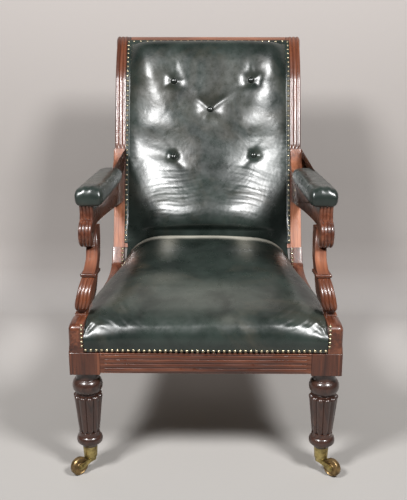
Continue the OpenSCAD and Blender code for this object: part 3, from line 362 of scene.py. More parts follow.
def quads(rows: int, columns: int, close_rows: bool = False, close_columns: bool = False) -> Points:
    """The faces of a grid of points.

    Args:
        rows: Number of rows of points.
        columns: Number of points in a row.
        close_rows: Whether the last row joins the first.
        close_columns: Whether the last column joins the first.

    Returns:
        Four point numbers for each face.
    """
    r = np.arange(rows if close_rows else rows - 1)[:, None]
    c = np.arange(columns if close_columns else columns - 1)[None, :]
    r1, c1 = (r + 1) % rows, (c + 1) % columns
    cells = [r * columns + c, r * columns + c1, r1 * columns + c1, r1 * columns + c]
    return np.stack([np.broadcast_to(x, (r.size, c.size)) for x in cells], -1).reshape(-1, 4)


@dataclass
class Shell:
    """A closed surface: its points, four-sided faces, flat ends and the wood's grain."""

    points: Points
    faces: Points
    ends: list[list[int]] = field(default_factory=list)
    grain: Points | None = None

    def along(self, grain: Grain, start: float = 0.0) -> "Shell":
        """The same surface with its grain laid one way."""
        lines = self.points[:, list(grain.value)] + start
        return Shell(self.points, self.faces, self.ends, lines)

    def moved(self, change: Callable[[Points], Points]) -> "Shell":
        """The same surface with its points changed and its grain kept."""
        grain = self.points.copy() if self.grain is None else self.grain
        return Shell(change(self.points), self.faces, self.ends, grain)

    def shifted(self, step: Row) -> "Shell":
        """The same surface set off by a step."""
        return self.moved(lambda p: p + np.asarray(step))


def as_column(value: Value, count: int) -> Points:
    """A number or a row of numbers as a column."""
    return np.broadcast_to(np.asarray(value, float), count)[:, None]


@dataclass
class Board:
    """A flat piece sawn to a closed side view outline, with rounded edges.

    The grid follows the outline along its rows and the thickness along its columns. A
    point lies on the outline, drawn in by the edge's quarter circle and pushed out by
    the relief, both along the outline's outward normal.
    """

    outline: Points
    width: float
    outer: Value = 3.0
    inner: Value = 3.0
    columns: int = 2
    relief: Relief | None = None

    def normals(self) -> Points:
        """The outline's outward unit normals."""
        line = self.outline
        step = np.roll(line, -1, axis=0) - np.roll(line, 1, axis=0)
        step /= np.linalg.norm(step, axis=1)[:, None] + 1e-12
        y, z = line.T
        area = np.sum(y * np.roll(z, -1) - np.roll(y, -1) * z)
        return np.stack([step[:, 1], -step[:, 0]], 1) * (1.0 if area > 0 else -1.0)

    def shell(self) -> Shell:
        """Builds the closed surface, its middle plane at x = 0."""
        n, half = len(self.outline), self.width / 2
        turn = np.radians(np.linspace(0, 90, 6))
        inner, outer = as_column(self.inner, n), as_column(self.outer, n)
        flat = np.linspace(0, 1, self.columns + 2)[None, 1:-1]
        level = (inner - half) * (1 - flat) + (half - outer) * flat
        left, right = inner * (1 - np.sin(turn[::-1])) - half, half - outer * (1 - np.sin(turn))
        x = np.concatenate([left, level, right], 1)
        rise = np.concatenate([inner * (np.cos(turn[::-1]) - 1), 0 * level, outer * (np.cos(turn) - 1)], 1)
        if self.relief is not None:
            rise = rise + self.relief(np.arange(n)[:, None] / n, x / self.width + 0.5)
        normal = self.normals()
        y = self.outline[:, 0:1] + normal[:, 0:1] * rise
        z = self.outline[:, 1:2] + normal[:, 1:2] * rise
        m = x.shape[1]
        ends = [list(range(0, n * m, m)), list(range(m - 1, n * m, m))]
        return Shell(np.stack([x, y, z], -1).reshape(-1, 3), quads(n, m, close_rows=True), ends)


@dataclass
class Loft:
    """A member between a front line and a back line, with rounded corners.

    Row i is a closed ring: across the front, down one side, across the back and up the
    other side, its corners quarter circles. The relief stands out in front.
    """

    front: Points
    back: Points
    centre: Value
    half: Value
    corner: float = 3.0
    columns: int = 2
    relief: Relief | None = None

    def shell(self) -> Shell:
        """Builds the closed surface in the chair's place."""
        n = len(self.front)
        span = self.back - self.front
        thick = np.linalg.norm(span, axis=1)[:, None] + 1e-9
        step = span / thick
        u = np.linspace(-1, 1, self.columns + 2)[1:-1]
        v = np.linspace(0, 1, 5)[1:-1]
        a = np.radians(np.linspace(0, 90, 6))
        sin, cos, one, nil = np.sin(a), np.cos(a), np.ones(6), np.zeros(6)
        side, off, level = np.ones(3), np.zeros(3), np.zeros(len(u))
        # Each run round the ring: width, share of the corner, depth, its share, weight of the relief
        runs = (
            (u, -u, level, level, level + 1),
            (one, sin - 1, nil, 1 - cos, cos),
            (side, off, v, 1 - 2 * v, off),
            (one, cos - 1, one, sin - 1, nil),
            (u[::-1], -u[::-1], level + 1, level, level),
            (-one, 1 - sin, one, cos - 1, nil),
            (-side, off, v[::-1], 1 - 2 * v[::-1], off),
            (-one, 1 - cos, nil, 1 - sin, sin),
        )
        across, across_r, deep, deep_r, weight = (np.concatenate(parts) for parts in zip(*runs))
        r = np.minimum(self.corner, thick * 0.45)
        half = as_column(self.half, n)
        x = across * half + across_r * r
        d = deep * thick + deep_r * r
        if self.relief is not None:
            d = d - self.relief(np.arange(n)[:, None] / (n - 1), x / half) * weight
        y = self.front[:, 0:1] + step[:, 0:1] * d
        z = self.front[:, 1:2] + step[:, 1:2] * d
        m = x.shape[1]
        points = np.stack([as_column(self.centre, n) + x, y, z], -1).reshape(-1, 3)
        along = np.broadcast_to(run_length((self.front + self.back) / 2)[:, None], (n, m))
        grain = np.stack([along, x, d], -1).reshape(-1, 3)
        ends = [list(range(m)), list(range((n - 1) * m, n * m))]
        return Shell(points, quads(n, m, close_columns=True), ends, grain)


@dataclass
class Turning:
    """A turned piece round an upright axis, its radius changed by a relief round it."""

    profile: Points
    steps: int = 96
    relief: Relief | None = None

    def shell(self) -> Shell:
        """Builds the closed surface with its axis at x = y = 0; profile rows are r, z."""
        a = np.linspace(0, 2 * np.pi, self.steps, endpoint=False)[None, :]
        z = self.profile[:, 1:2]
        rad = np.broadcast_to(self.profile[:, 0:1], (len(z), self.steps)).copy()
        if self.relief is not None:
            rad += self.relief(z, a)
        points = np.stack([rad * np.cos(a), rad * np.sin(a), np.broadcast_to(z, rad.shape)], -1)
        grain = np.stack([points[..., 2], rad * a, rad], -1).reshape(-1, 3)
        n, m = rad.shape
        ends = [list(range(m)), list(range((n - 1) * m, n * m))]
        return Shell(points.reshape(-1, 3), quads(n, m, close_columns=True), ends, grain)


def cushion_shell(upper: Points, lower: Points) -> Shell:
    """A closed cushion between two sheets of points of the same rows and columns.

    Args:
        upper: The upper sheet, as rows, columns and x, y, z.
        lower: The lower sheet.

    Returns:
        The closed surface.
    """
    rows, columns = upper.shape[:2]
    count = rows * columns
    top, low = quads(rows, columns), quads(rows, columns)[:, ::-1] + count
    number = np.arange(count).reshape(rows, columns)
    rim = np.concatenate([number[0, :-1], number[:-1, -1], number[-1, :0:-1], number[:0:-1, 0]])
    following = np.roll(rim, -1)
    wall = np.stack([following, rim, rim + count, following + count], 1)
    points = np.concatenate([upper.reshape(-1, 3), lower.reshape(-1, 3)])
    return Shell(points, np.concatenate([top, low, wall]))


class Graph:
    """A material's node tree, with short ways to add and join nodes."""

    def __init__(self, name: str) -> None:
        """Makes an empty material with an output and a main shader."""
        self.material = bpy.data.materials.new(name)
        self.material.use_nodes = True
        self.tree = self.material.node_tree
        self.tree.nodes.clear()
        self.out = self.tree.nodes.new("ShaderNodeOutputMaterial")
        self.shader = self.add("BsdfPrincipled")
        self.put(self.out, {"Surface": self.shader.outputs[0]})

    def add(self, kind: str, values: Inputs | None = None, **settings: object) -> bpy.types.Node:
        """Adds a shader node.

        Args:
            kind: The node's type, without ShaderNode in front.
            values: Inputs by name or number, each a constant or an output socket.
            settings: The node's own settings.

        Returns:
            The node.
        """
        node = self.tree.nodes.new("ShaderNode" + kind)
        for key, value in settings.items():
            setattr(node, key, value)
        self.put(node, values or {})
        return node

    def put(self, node: bpy.types.Node, values: Inputs) -> None:
        """Sets a node's inputs to constants or joins them to outputs."""
        for key, value in values.items():
            if isinstance(value, Socket):
                self.tree.links.new(value, node.inputs[key])
            else:
                node.inputs[key].default_value = value

    def place(self) -> Socket:
        """Object coordinates, in metres."""
        return self.add("TexCoord").outputs["Object"]

    def attribute(self, name: str, output: str = "Fac") -> Socket:
        """An attribute that the mesh's points carry."""
        return self.add("Attribute", attribute_name=name).outputs[output]

    def scaled(self, vector: Socket, scale: Row) -> Socket:
        """A vector multiplied by three numbers."""
        return self.add("VectorMath", {0: vector, 1: tuple(scale)}, operation="MULTIPLY").outputs[0]

    def noise(
        self, vector: Socket, scale: float, detail: float, rough: float = 0.55, bend: float = 0.0
    ) -> Socket:
        """The value of a noise texture over a vector."""
        values = {"Vector": vector, "Scale": scale, "Detail": detail, "Roughness": rough, "Distortion": bend}
        return self.add("TexNoise", values).outputs[0]

    def cells(self, vector: Socket, scale: float, feature: str) -> Socket:
        """The distance that a cell texture gives."""
        return self.add("TexVoronoi", {"Vector": vector, "Scale": scale}, feature=feature).outputs["Distance"]

    def plus(self, a: object, b: object) -> Socket:
        """The sum of two values."""
        return self.add("Math", {0: a, 1: b}, operation="ADD").outputs[0]

    def times(self, a: object, b: object) -> Socket:
        """The product of two values."""
        return self.add("Math", {0: a, 1: b}, operation="MULTIPLY").outputs[0]

    def between(
        self, value: Socket, low: float, high: float, to_low: float = 0.0, to_high: float = 1.0
    ) -> Socket:
        """A value carried from one range to another and held inside it."""
        values = {"Value": value, "From Min": low, "From Max": high, "To Min": to_low, "To Max": to_high}
        return self.add("MapRange", values).outputs[0]

    def ramp(self, value: Socket, *stops: tuple[float, Colour]) -> Socket:
        """A colour ramp over a value."""
        node = self.add("ValToRGB", {0: value})
        ramp = node.color_ramp
        while len(ramp.elements) < len(stops):
            ramp.elements.new(0.5)
        for element, (place, colour) in zip(ramp.elements, stops):
            element.position = place
            element.color = (*colour, 1.0)
        return node.outputs[0]

    def mixed(self, share: object, a: object, b: object) -> Socket:
        """Two colours mixed by a share."""
        colours = [c if isinstance(c, Socket) else (*c, 1.0) for c in (a, b)]
        node = self.add("Mix", data_type="RGBA", blend_type="MIX")
        self.put(node, {0: share, 6: colours[0], 7: colours[1]})
        return node.outputs[2]

    def relief(self, height: Socket, distance: float, strength: float, under: Socket | None = None) -> Socket:
        """A bump made from a height, over another bump if one is given."""
        values = {"Height": height, "Distance": distance, "Strength": strength}
        return self.add("Bump", values if under is None else {**values, "Normal": under}).outputs[0]

    def done(self, **values: object) -> bpy.types.Material:
        """Sets the main shader's inputs, their names with _ for a blank, and gives the material."""
        self.put(self.shader, {key.replace("_", " "): value for key, value in values.items()})
        return self.material


@dataclass(frozen=True)
class Wood:
    """Polished wood with streaks, broad tone changes and fine pores along its grain, and a painted sheen:
    paler tones where the mesh asks for them.
    """

    name: str
    dark: Colour
    middle: Colour
    light: Colour
    polish: float = 0.4
    roughness: float = 0.3
    faded: tuple[Colour, Colour] = ((0.2, 0.062, 0.03), (0.52, 0.21, 0.11))

    def material(self) -> bpy.types.Material:
        """Builds the material over the mesh attribute named grain, in millimetres."""
        g = Graph(self.name)
        grain = g.attribute("grain", "Vector")
        streak = g.noise(g.scaled(grain, (0.006, 0.12, 0.12)), 1.0, 6.0, 0.62, 0.7)
        broad = g.noise(g.scaled(grain, (0.0035, 0.016, 0.016)), 1.0, 3.0, 0.5, 0.5)
        tone = g.plus(g.times(streak, 0.55), g.times(broad, 0.45))
        colour = g.ramp(tone, (0.36, self.dark), (0.5, self.middle), (0.66, self.light))
        fleck = g.between(g.noise(g.scaled(grain, (0.05, 1.3, 1.3)), 1.0, 2.0, 0.5), 0.6, 0.72)
        colour = g.mixed(g.times(fleck, 0.45), colour, tuple(c * 0.4 for c in self.dark))
        # Painted sheen: where the mesh's attribute asks, the wood is mixed towards these paler tones,
        # standing in for shine
        faded = g.ramp(tone, (0.38, self.faded[0]), (0.62, self.faded[1]))
        colour = g.mixed(g.attribute("worn"), colour, faded)
        grime = g.noise(g.place(), 23.0, 4.0, 0.6)
        rough = g.between(grime, 0.3, 0.75, self.roughness * 0.75, self.roughness * 1.5)
        normal = g.relief(fleck, 0.00012, 0.5)
        coat = {"Coat_Weight": self.polish, "Coat_Roughness": 0.1}
        return g.done(Base_Color=colour, Roughness=rough, Normal=normal, IOR=1.5, **coat)


@dataclass(frozen=True)
class Leather:
    """Dark green hide with a fine grain, mottling, rubbed places, small creases and a pale colour where the
    mesh asks: painted sheen and highlight, and wear.
    """

    name: str
    deep: Colour = (0.006, 0.0095, 0.008)
    pale: Colour = (0.019, 0.027, 0.023)
    rubbed: Colour = (0.055, 0.046, 0.032)
    wear: float = 0.4
    roughness: float = 0.29
    # Pale colour for painted sheen and highlight, and for wear
    bare: Colour = (0.27, 0.26, 0.22)

    def material(self) -> bpy.types.Material:
        """Builds the material over object coordinates, in metres."""
        g = Graph(self.name)
        here = g.place()
        mottle = g.noise(here, 9.0, 5.0, 0.6, 0.3)
        colour = g.ramp(mottle, (0.35, self.deep), (0.65, self.pale))
        patch = g.between(g.noise(here, 5.5, 4.0, 0.65, 0.8), 0.52, 0.72)
        colour = g.mixed(g.times(patch, self.wear), colour, self.rubbed)
        # Painted sheen and highlight, with wear: the hide goes paler where the mesh's attribute asks
        worn = g.times(g.attribute("worn"), g.between(mottle, 0.3, 0.7, 0.6, 1.3))
        colour = g.mixed(worn, colour, self.bare)
        pebble = g.plus(g.cells(here, 620.0, "F1"), g.noise(here, 260.0, 3.0, 0.6))
        crease = g.between(g.cells(here, 55.0, "DISTANCE_TO_EDGE"), 0.0, 0.09)
        normal = g.relief(g.noise(here, 28.0, 2.0, 0.5, 0.2), 0.003, 0.3)
        normal = g.relief(crease, 0.0003, 0.05, normal)
        normal = g.relief(pebble, 0.0002, 0.12, normal)
        rough = g.noise(here, 34.0, 4.0, 0.65)
        rough = g.between(rough, 0.3, 0.7, self.roughness * 0.8, self.roughness * 1.35)
        shine = {"IOR": 1.5, "Specular_IOR_Level": 0.5, "Coat_Weight": 0.08, "Coat_Roughness": 0.2}
        return g.done(Base_Color=colour, Roughness=rough, Normal=normal, **shine)


@dataclass(frozen=True)
class Metal:
    """Brass with darker, duller patches spread by a noise, and brighter places between them."""

    name: str
    bright: Colour
    dull: Colour
    scale: float = 60.0
    roughness: float = 0.3

    def material(self) -> bpy.types.Material:
        """Builds the material over object coordinates, in metres."""
        g = Graph(self.name)
        here = g.place()
        stain = g.between(g.noise(here, self.scale, 5.0, 0.65), 0.38, 0.66)
        rough = g.between(stain, 0.0, 1.0, self.roughness, self.roughness + 0.3)
        normal = g.relief(g.noise(here, self.scale * 12, 3.0), 0.00015, 0.3)
        colour = g.mixed(stain, self.bright, self.dull)
        return g.done(Base_Color=colour, Metallic=0.92, Roughness=rough, Normal=normal)


@dataclass(frozen=True)
class Cloth:
    """Coarse woven stuff: webbing and hessian under the seat and behind the back."""

    name: str
    colour: Colour
    threads: float

    def material(self) -> bpy.types.Material:
        """Builds the material from crossed waves over object coordinates."""
        g = Graph(self.name)
        values = {"Vector": g.place(), "Scale": self.threads, "Distortion": 1.5, "Detail": 2.0}
        weave = g.times(*(g.add("TexWave", values, bands_direction=d).outputs[1] for d in "XY"))
        colour = g.mixed(g.between(weave, 0.0, 0.7), tuple(c * 0.4 for c in self.colour), self.colour)
        return g.done(Base_Color=colour, Roughness=0.9, Normal=g.relief(weave, 0.0006, 0.6))


class Finish(Enum):
    """The finishes of the chair."""

    MAHOGANY = "mahogany"
    DARK = "dark_mahogany"
    BEECH = "beech"
    LEATHER = "leather"
    WEBBING = "webbing"
    HESSIAN = "hessian"
    BRASS = "brass"
    NAIL = "nail"
    TYRE = "tyre"
    BUTTON = "button"


class Palette:
    """Makes each finish's material once and hands it out."""

    MAKERS = {
        Finish.MAHOGANY: Wood(
            "mahogany_polish", (0.024, 0.007, 0.004), (0.072, 0.021, 0.01), (0.16, 0.052, 0.024)
        ),
        Finish.DARK: Wood(
            "mahogany_dark_polish", (0.012, 0.006, 0.005), (0.032, 0.014, 0.01), (0.06, 0.026, 0.017)
        ),
        Finish.BEECH: Wood("beech_plain", (0.3, 0.17, 0.08), (0.42, 0.26, 0.14), (0.55, 0.36, 0.2), 0.0, 0.6),
        Finish.LEATHER: Leather("hide_green"),
        Finish.WEBBING: Cloth("webbing_weave", (0.3, 0.22, 0.12), 180.0),
        Finish.HESSIAN: Cloth("hessian_weave", (0.35, 0.27, 0.15), 260.0),
        Finish.BRASS: Metal("brass_aged", (0.5, 0.4, 0.16), (0.13, 0.095, 0.035)),
        Finish.NAIL: Metal("brass_nail", (0.5, 0.44, 0.3), (0.12, 0.09, 0.05), 150.0, 0.2),
        Finish.TYRE: Metal("brass_worn", (0.3, 0.2, 0.09), (0.05, 0.032, 0.018), 45.0, 0.34),
        Finish.BUTTON: Leather(
            "hide_button", (0.004, 0.006, 0.005), (0.012, 0.016, 0.013), (0.03, 0.03, 0.024), 0.1, 0.2
        ),
    }
    # Finishes paired with another one's slot name; nothing in the script reads this table
    SLOTS = {Finish.NAIL: "brass", Finish.TYRE: "brass", Finish.BUTTON: "leather"}

    def __init__(self) -> None:
        """Starts with nothing made."""
        self.made: dict[Finish, bpy.types.Material] = {}

    def dress(self, obj: bpy.types.Object, finish: Finish) -> None:
        """Gives an object a finish."""
        if finish not in self.made:
            self.made[finish] = self.MAKERS[finish].material()
        obj.data.materials.clear()
        obj.data.materials.append(self.made[finish])


PALETTE = Palette()


def store(mesh: bpy.types.Mesh, name: str, values: Points) -> None:
    """Stores a number or a vector for each point of a mesh as an attribute."""
    kind, key = ("FLOAT_VECTOR", "vector") if values.ndim > 1 else ("FLOAT", "value")
    mesh.attributes.new(name, kind, "POINT").data.foreach_set(key, values.astype(np.float32).ravel())


def smooth(mesh: bpy.types.Mesh, sharp: float = 180.0) -> None:
    """Shades a mesh smooth, but for edges sharper than an angle in degrees."""
    mesh.polygons.foreach_set("use_smooth", np.ones(len(mesh.polygons), bool))
    mesh.set_sharp_from_angle(angle=math.radians(sharp))


def linked(name: str, data: bpy.types.ID) -> bpy.types.Object:
    """A new object that is in the scene."""
    obj = bpy.data.objects.new(name, data)
    bpy.context.scene.collection.objects.link(obj)
    return obj


def make(
    name: str, shell: Shell, finish: Finish, node: str, sharp: float = 38.0, worn: Points | None = None
) -> bpy.types.Object:
    """Makes a mesh object of a surface in chair millimetres.

    Args:
        name: The object's name.
        shell: The surface.
        finish: The finish it takes.
        node: The frame's node that it stands for.
        sharp: The angle in degrees over which an edge stays sharp.
        worn: How much paler each point is painted, from 0 to 1: painted sheen and highlight on the wood,
            painted sheen and highlight with real wear on the hide.

    Returns:
        The object, riding on the root body.
    """
    mesh = bpy.data.meshes.new(name)
    mesh.from_pydata(to_frame(shell.points).tolist(), [], shell.faces.tolist() + shell.ends)
    lines = shell.along(Grain.UP).grain if shell.grain is None else shell.grain
    # Each piece takes its grain from another place in the wood, found from its name
    offset = sum(ord(c) * (k + 3) for k, c in enumerate(name)) % 977 * 7.0
    store(mesh, "grain", lines + offset)
    # Painted sheen and highlight, with wear on the hide: an attribute that makes the material paler
    if worn is not None:
        store(mesh, "worn", worn)
    edit = bmesh.new()
    edit.from_mesh(mesh)
    bmesh.ops.remove_doubles(edit, verts=edit.verts, dist=2e-6)
    bmesh.ops.dissolve_degenerate(edit, edges=edit.edges, dist=1e-7)
    bmesh.ops.recalc_face_normals(edit, faces=edit.faces)
    edit.to_mesh(mesh)
    edit.free()
    smooth(mesh, sharp)
    obj = linked(name, mesh)
    PALETTE.dress(obj, finish)
    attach(obj, "root")
    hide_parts(node)
    LOG.info("%s: %d faces", name, len(mesh.polygons))
    return obj


def plain(name: str, finish: Finish) -> None:
    """Dresses a node of the frame as it is, with a grain laid from its points."""
    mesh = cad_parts[name].data
    co = np.zeros(len(mesh.vertices) * 3, np.float32)
    mesh.vertices.foreach_get("co", co)
    store(mesh, "grain", co.reshape(-1, 3) / MM)
    PALETTE.dress(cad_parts[name], finish)
    LOG.info("%s keeps its shape", name)


def mirror(points: Points, side: Side) -> Points:
    """Points of the right side turned over to the side asked for."""
    return points * np.array([side.value, 1.0, 1.0])


def rounded_box(low: Row, high: Row, edge: float) -> Shell:
    """A box with rounded edges, a board whose outline has rounded corners."""
    (x0, y0, z0), (x1, y1, z1) = low, high
    far = ((y1 - edge, z1 - edge), (y0 + edge, z1 - edge), (y0 + edge, z0 + edge), (y1 - edge, z0 + edge))
    outline = chain(*(arc(centre, edge, 90 * k, 90 * k + 90, 5) for k, centre in enumerate(far)))
    return Board(outline, x1 - x0, edge * 0.98, edge * 0.98).shell().shifted([(x0 + x1) / 2, 0, 0])


@dataclass
class SeatFrame:
    """Front rail, side rails and the hidden rails, blocks and webbing."""

    reeds: int = 4
    shoulder_round: float = 11.0
    edge: float = 4.0
    sunk_edge: float = 1.5
    lip: float = 2.5
    joint_gap: float = 0.2

    def front_rail(self) -> None:
        """The front rail: a bar with level reeds that stop short of the blocks."""
        half = SIZE.seat_w / 2 - SIZE.block_w
        pitch = SIZE.rail_h * 0.86 / self.reeds
        low, top, ground = SIZE.rail_z + SIZE.rail_h * 0.04, SIZE.rail_top, SIZE.reed_out * 1.25
        a = np.radians(np.linspace(-90, 90, 15))
        bead = np.stack([ground - SIZE.reed_out * np.cos(a), pitch * 0.47 * np.sin(a)], 1)
        outline = chain(
            [[SIZE.rail_t, SIZE.rail_z], [ground, SIZE.rail_z]],
            *(bead + [0, low + pitch * (k + 0.5)] for k in range(self.reeds)),
            [[ground, top - pitch * 0.3], [0.3, top - pitch * 0.27]],
            arc((0.3 + self.lip, top - self.lip), self.lip, 180, 90, 6),
            [[SIZE.rail_t, top]],
        )
        shell = Board(outline, 2 * half, 0.4, 0.4, 120).shell()
        x, y, z = shell.points.T
        stop = (half - np.abs(x) < SIZE.block_w * 0.12) & (y < ground) & (z < top - pitch * 0.28)
        shell.points[stop, 1] = SIZE.reed_out
        make("front_seat_rail", shell.along(Grain.ACROSS), Finish.MAHOGANY, "front_rail")

    def side_outline(self) -> Points:
        """A side rail's outline: front shoulder, dip and sweep up to the back leg."""
        gap, lap, dip_y = self.joint_gap, SIZE.lap_y, SIZE.joint_y * 0.73
        low, top, block = SIZE.rail_z + 0.3, SIZE.rail_top + 0.1, SIZE.block_w + 0.1
        dip, z, end = SIZE.dip_z, SIZE.shoulder_z, SIZE.leg_face_y
        rise, run = SIZE.sweep_z - dip, end - dip_y
        sweep = [[end - run * 0.17, dip + rise * 0.32], [end - gap, dip + rise]]
        return chain(
            straight(12, [end - gap, low], [block, low], [block, top], [gap, top]),
            straight(4, [gap, top], [gap, z - lap * 0.4]),
            bezier([[gap, z - lap * 0.4], [gap, z - lap * 0.08], [lap * 0.42, z], [lap, z]], 24),
            bezier([[lap, z], [lap + dip_y * 0.2, z], [dip_y * 0.625, dip], [dip_y, dip]], 40),
            bezier([[dip_y, dip], [dip_y + run * 0.58, dip], *sweep], 30),
        )

    def side_rail(self, side: Side) -> None:
        """One side rail, its shoulder rounded over towards the outside."""
        outline = self.side_outline()
        y, z = outline.T
        raised = smooth_step(z, SIZE.rail_top, SIZE.rail_top + 26) * (1 - smooth_step(y, 70, 190))
        outer = self.edge + (self.shoulder_round - self.edge) * raised
        outer = np.where(z < SIZE.rail_top + 1, self.sunk_edge, outer)
        shell = Board(outline, SIZE.side_t - self.joint_gap, outer, self.sunk_edge, 3).shell()
        slope = SIZE.plan_slope

        def turn(p: Points) -> Points:
            """Draws the rail in towards the back, as its plan is."""
            x = SIZE.seat_w / 2 + (p[:, 0] - SIZE.side_t / 2) * math.hypot(1, slope) - p[:, 1] * slope
            return mirror(np.column_stack([x, p[:, 1:]]), side)

        rail = shell.along(Grain.BACK, side.value * 300).moved(turn)
        make(f"side_seat_rail_{side.word}", rail, Finish.MAHOGANY, f"side_rail_{side.word}")

    def build(self) -> None:
        """Builds the seat frame and dresses its hidden parts."""
        self.front_rail()
        for side in Side:
            self.side_rail(side)
        for name in ("back_rail", "lower_back_rail", "corner_blocks"):
            plain(name, Finish.BEECH)
        plain("seat_webbing", Finish.WEBBING)
        plain("back_webbing", Finish.WEBBING)
        plain("seat_hessian", Finish.HESSIAN)


@dataclass
class FrontLegs:
    """Square blocks with turned and reeded legs below them."""

    reeds: int = 10
    ball_d: float = 75.0
    neck_d: float = 59.0
    reed_top_d: float = 70.0
    reed_low_d: float = 52.0
    ring_d: float = 65.0
    reed_turn: float = 0.24
    reed_depth: float = 0.2
    top: float = field(init=False)
    neck_z: float = field(init=False)
    reed_top: float = field(init=False)
    reed_low: float = field(init=False)

    def __post_init__(self) -> None:
        """Works out the heights of the block, the neck under the ball and the reeds' ends."""
        self.top = SIZE.rail_z - SIZE.block_drop
        self.neck_z = self.top - SIZE.rail_h * 1.19
        self.reed_top = self.neck_z - SIZE.rail_h * 0.03
        self.reed_low = SIZE.cup_top + SIZE.rail_h * 0.8

    def profile(self) -> Points:
        """The turning's radius and height from under the block to the castor cup."""
        h, top, foot, low = SIZE.rail_h, self.top, SIZE.cup_top, self.neck_z
        drum, neck, pin = self.ball_d / 2, self.neck_d / 2, SIZE.tenon_r
        upper, lower = self.reed_top_d / 2, self.reed_low_d / 2

        def moulding(radius: float, out: float, z: float, tall: float, turn: Row, steps: int) -> Points:
            """A swelling whose radius follows a cosine and whose height follows a sine."""
            a = np.radians(np.linspace(*turn, steps))
            return np.stack([radius - out * (1 - np.cos(a)), z + tall * np.sin(a)], 1)

        ball = moulding(drum, h * 0.285, top - h * 0.76, h * 0.38, (66, -66), 40)
        ring = moulding(self.ring_d / 2, h * 0.16, foot + h * 0.36, h * 0.24, (62, -30), 30)
        cap, shoulder = [neck + 1.5, top - 1.5], [drum - 1.0, low - 7.0]
        return chain(
            [[neck + 1.5, top + 0.2], cap],
            bezier([cap, [neck - 2.5, top - 6], [neck - 3.5, ball[0, 1] + 5], ball[0]], 10),
            ball,
            bezier([ball[-1], [neck - 4.5, low + 2.5], [neck - 4.0, low + 0.5], [neck - 1.0, low]], 10),
            bezier([[neck - 1.0, low], [drum - 2.5, low - 1.0], [drum - 0.6, low - 4.0], shoulder], 14),
            bezier([shoulder, [drum - 1.2, low - 9], [upper + 0.4, low - 12], [upper, low - 15]], 10),
            np.linspace([upper, low - 15], [lower, self.reed_low], 60),
            bezier([[lower, self.reed_low], [lower, self.reed_low - 4], ring[0] + [-1.5, 3.5], ring[0]], 8),
            ring,
            bezier([ring[-1], ring[-1] + [-2.5, -4.0], [21.6, foot + h * 0.13], [20.6, foot + h * 0.07]], 14),
            [[19.4, foot + 0.4], [17.0, foot + 0.3], [pin, foot + 0.3], [pin, foot - SIZE.tenon_len]],
        )

    def relief(self, z: Points, turn: Points) -> Points:
        """Grooves between the reeds, with rounded ends above and below."""
        top, low = self.reed_top + 1.0, self.reed_low - 1.0
        side = np.abs(2 * (((turn - self.reed_turn) / (2 * np.pi) * self.reeds) % 1.0) - 1)
        rise = np.clip((z - self.reed_low) / (self.reed_top - self.reed_low), 0, 1)
        radius = self.reed_low_d / 2 + (self.reed_top_d - self.reed_low_d) / 2 * rise
        width = radius * np.pi / self.reeds
        inside = np.minimum(rounding(top - z, width), rounding(z - low, width))
        crown = np.sqrt(np.clip(1 - (side / np.maximum(inside, 0.02)) ** 2 * 0.9, 0, 1))
        return np.where((z < top) & (z > low), (crown - 1) * radius * self.reed_depth, 0.0)

    def build(self) -> None:
        """Builds both blocks and both turnings."""
        half = SIZE.block_w / 2
        leg = Turning(closer(self.profile(), 1.6), self.reeds * 16, self.relief).shell()
        block = rounded_box((-half + 0.05, -half, self.top), (half, half, SIZE.rail_top), 2.4).along(Grain.UP)
        for side in Side:
            put = (side.value * (SIZE.seat_w / 2 - half), half, 0.0)
            node = f"front_leg_{side.word}"
            make(f"front_turned_leg_{side.word}", leg.shifted(put), Finish.DARK, node)
            make(f"front_leg_block_{side.word}", block.shifted(put), Finish.MAHOGANY, node)


@dataclass
class BackLegs:
    """Sabre back legs whose tops carry the stiles."""

    edge: float = 3.0

    def build(self) -> None:
        """Builds both legs with their round tenons in the castor cups."""
        t, rake, collar = SIZE.stile_t, SIZE.foot_rake, SIZE.stile_t * 0.06
        joint = np.array([SIZE.joint_y, SIZE.joint_z])
        face, sweep, z, low = SIZE.leg_face_y, SIZE.sweep_z, SIZE.rail_z, SIZE.cup_top + 0.3
        front, back = joint - collar * behind(rake), joint + (t + collar) * behind(rake)
        y0, run = SIZE.back_foot_y, SIZE.back_foot_y - SIZE.joint_y
        toe, heel = y0 - SIZE.back_foot_t / 2, y0 + SIZE.back_foot_t / 2
        knee, calf = [SIZE.joint_y + run * 0.33, z * 0.47], [SIZE.joint_y + run * 0.28, z * 0.7]
        bend = [face + collar * 2, sweep + collar * 2.5]
        outline = chain(
            straight(8, [heel, low], [toe, low]),
            bezier([[toe, low], knee, [face + t * 0.15, z * 0.78], [face, z]], 50),
            straight(8, [face, z], [face, sweep]),
            bezier([[face, sweep], bend, front - collar * 5 * raked(rake * 1.3), front], 20),
            straight(6, front, back),
            bezier([back, back - t * 2.1 * raked(rake), calf, [heel, low]], 60),
        )
        leg = Board(outline, SIZE.back_leg_t, self.edge, self.edge, 2).shell().along(Grain.UP)
        pin = SIZE.tenon_r
        peg = Turning(np.array([[pin, low + 4], [pin, low - SIZE.tenon_len]]), 32).shell()
        centre = SIZE.back_x - SIZE.back_leg_t / 2 + collar
        for side in Side:
            x, node = side.value * centre, f"back_leg_{side.word}"
            make(f"sabre_back_leg_{side.word}", leg.shifted([x, 0.0, 0.0]), Finish.MAHOGANY, node)
            make(f"back_leg_peg_{side.word}", peg.shifted([x, y0, 0.0]), Finish.MAHOGANY, node)


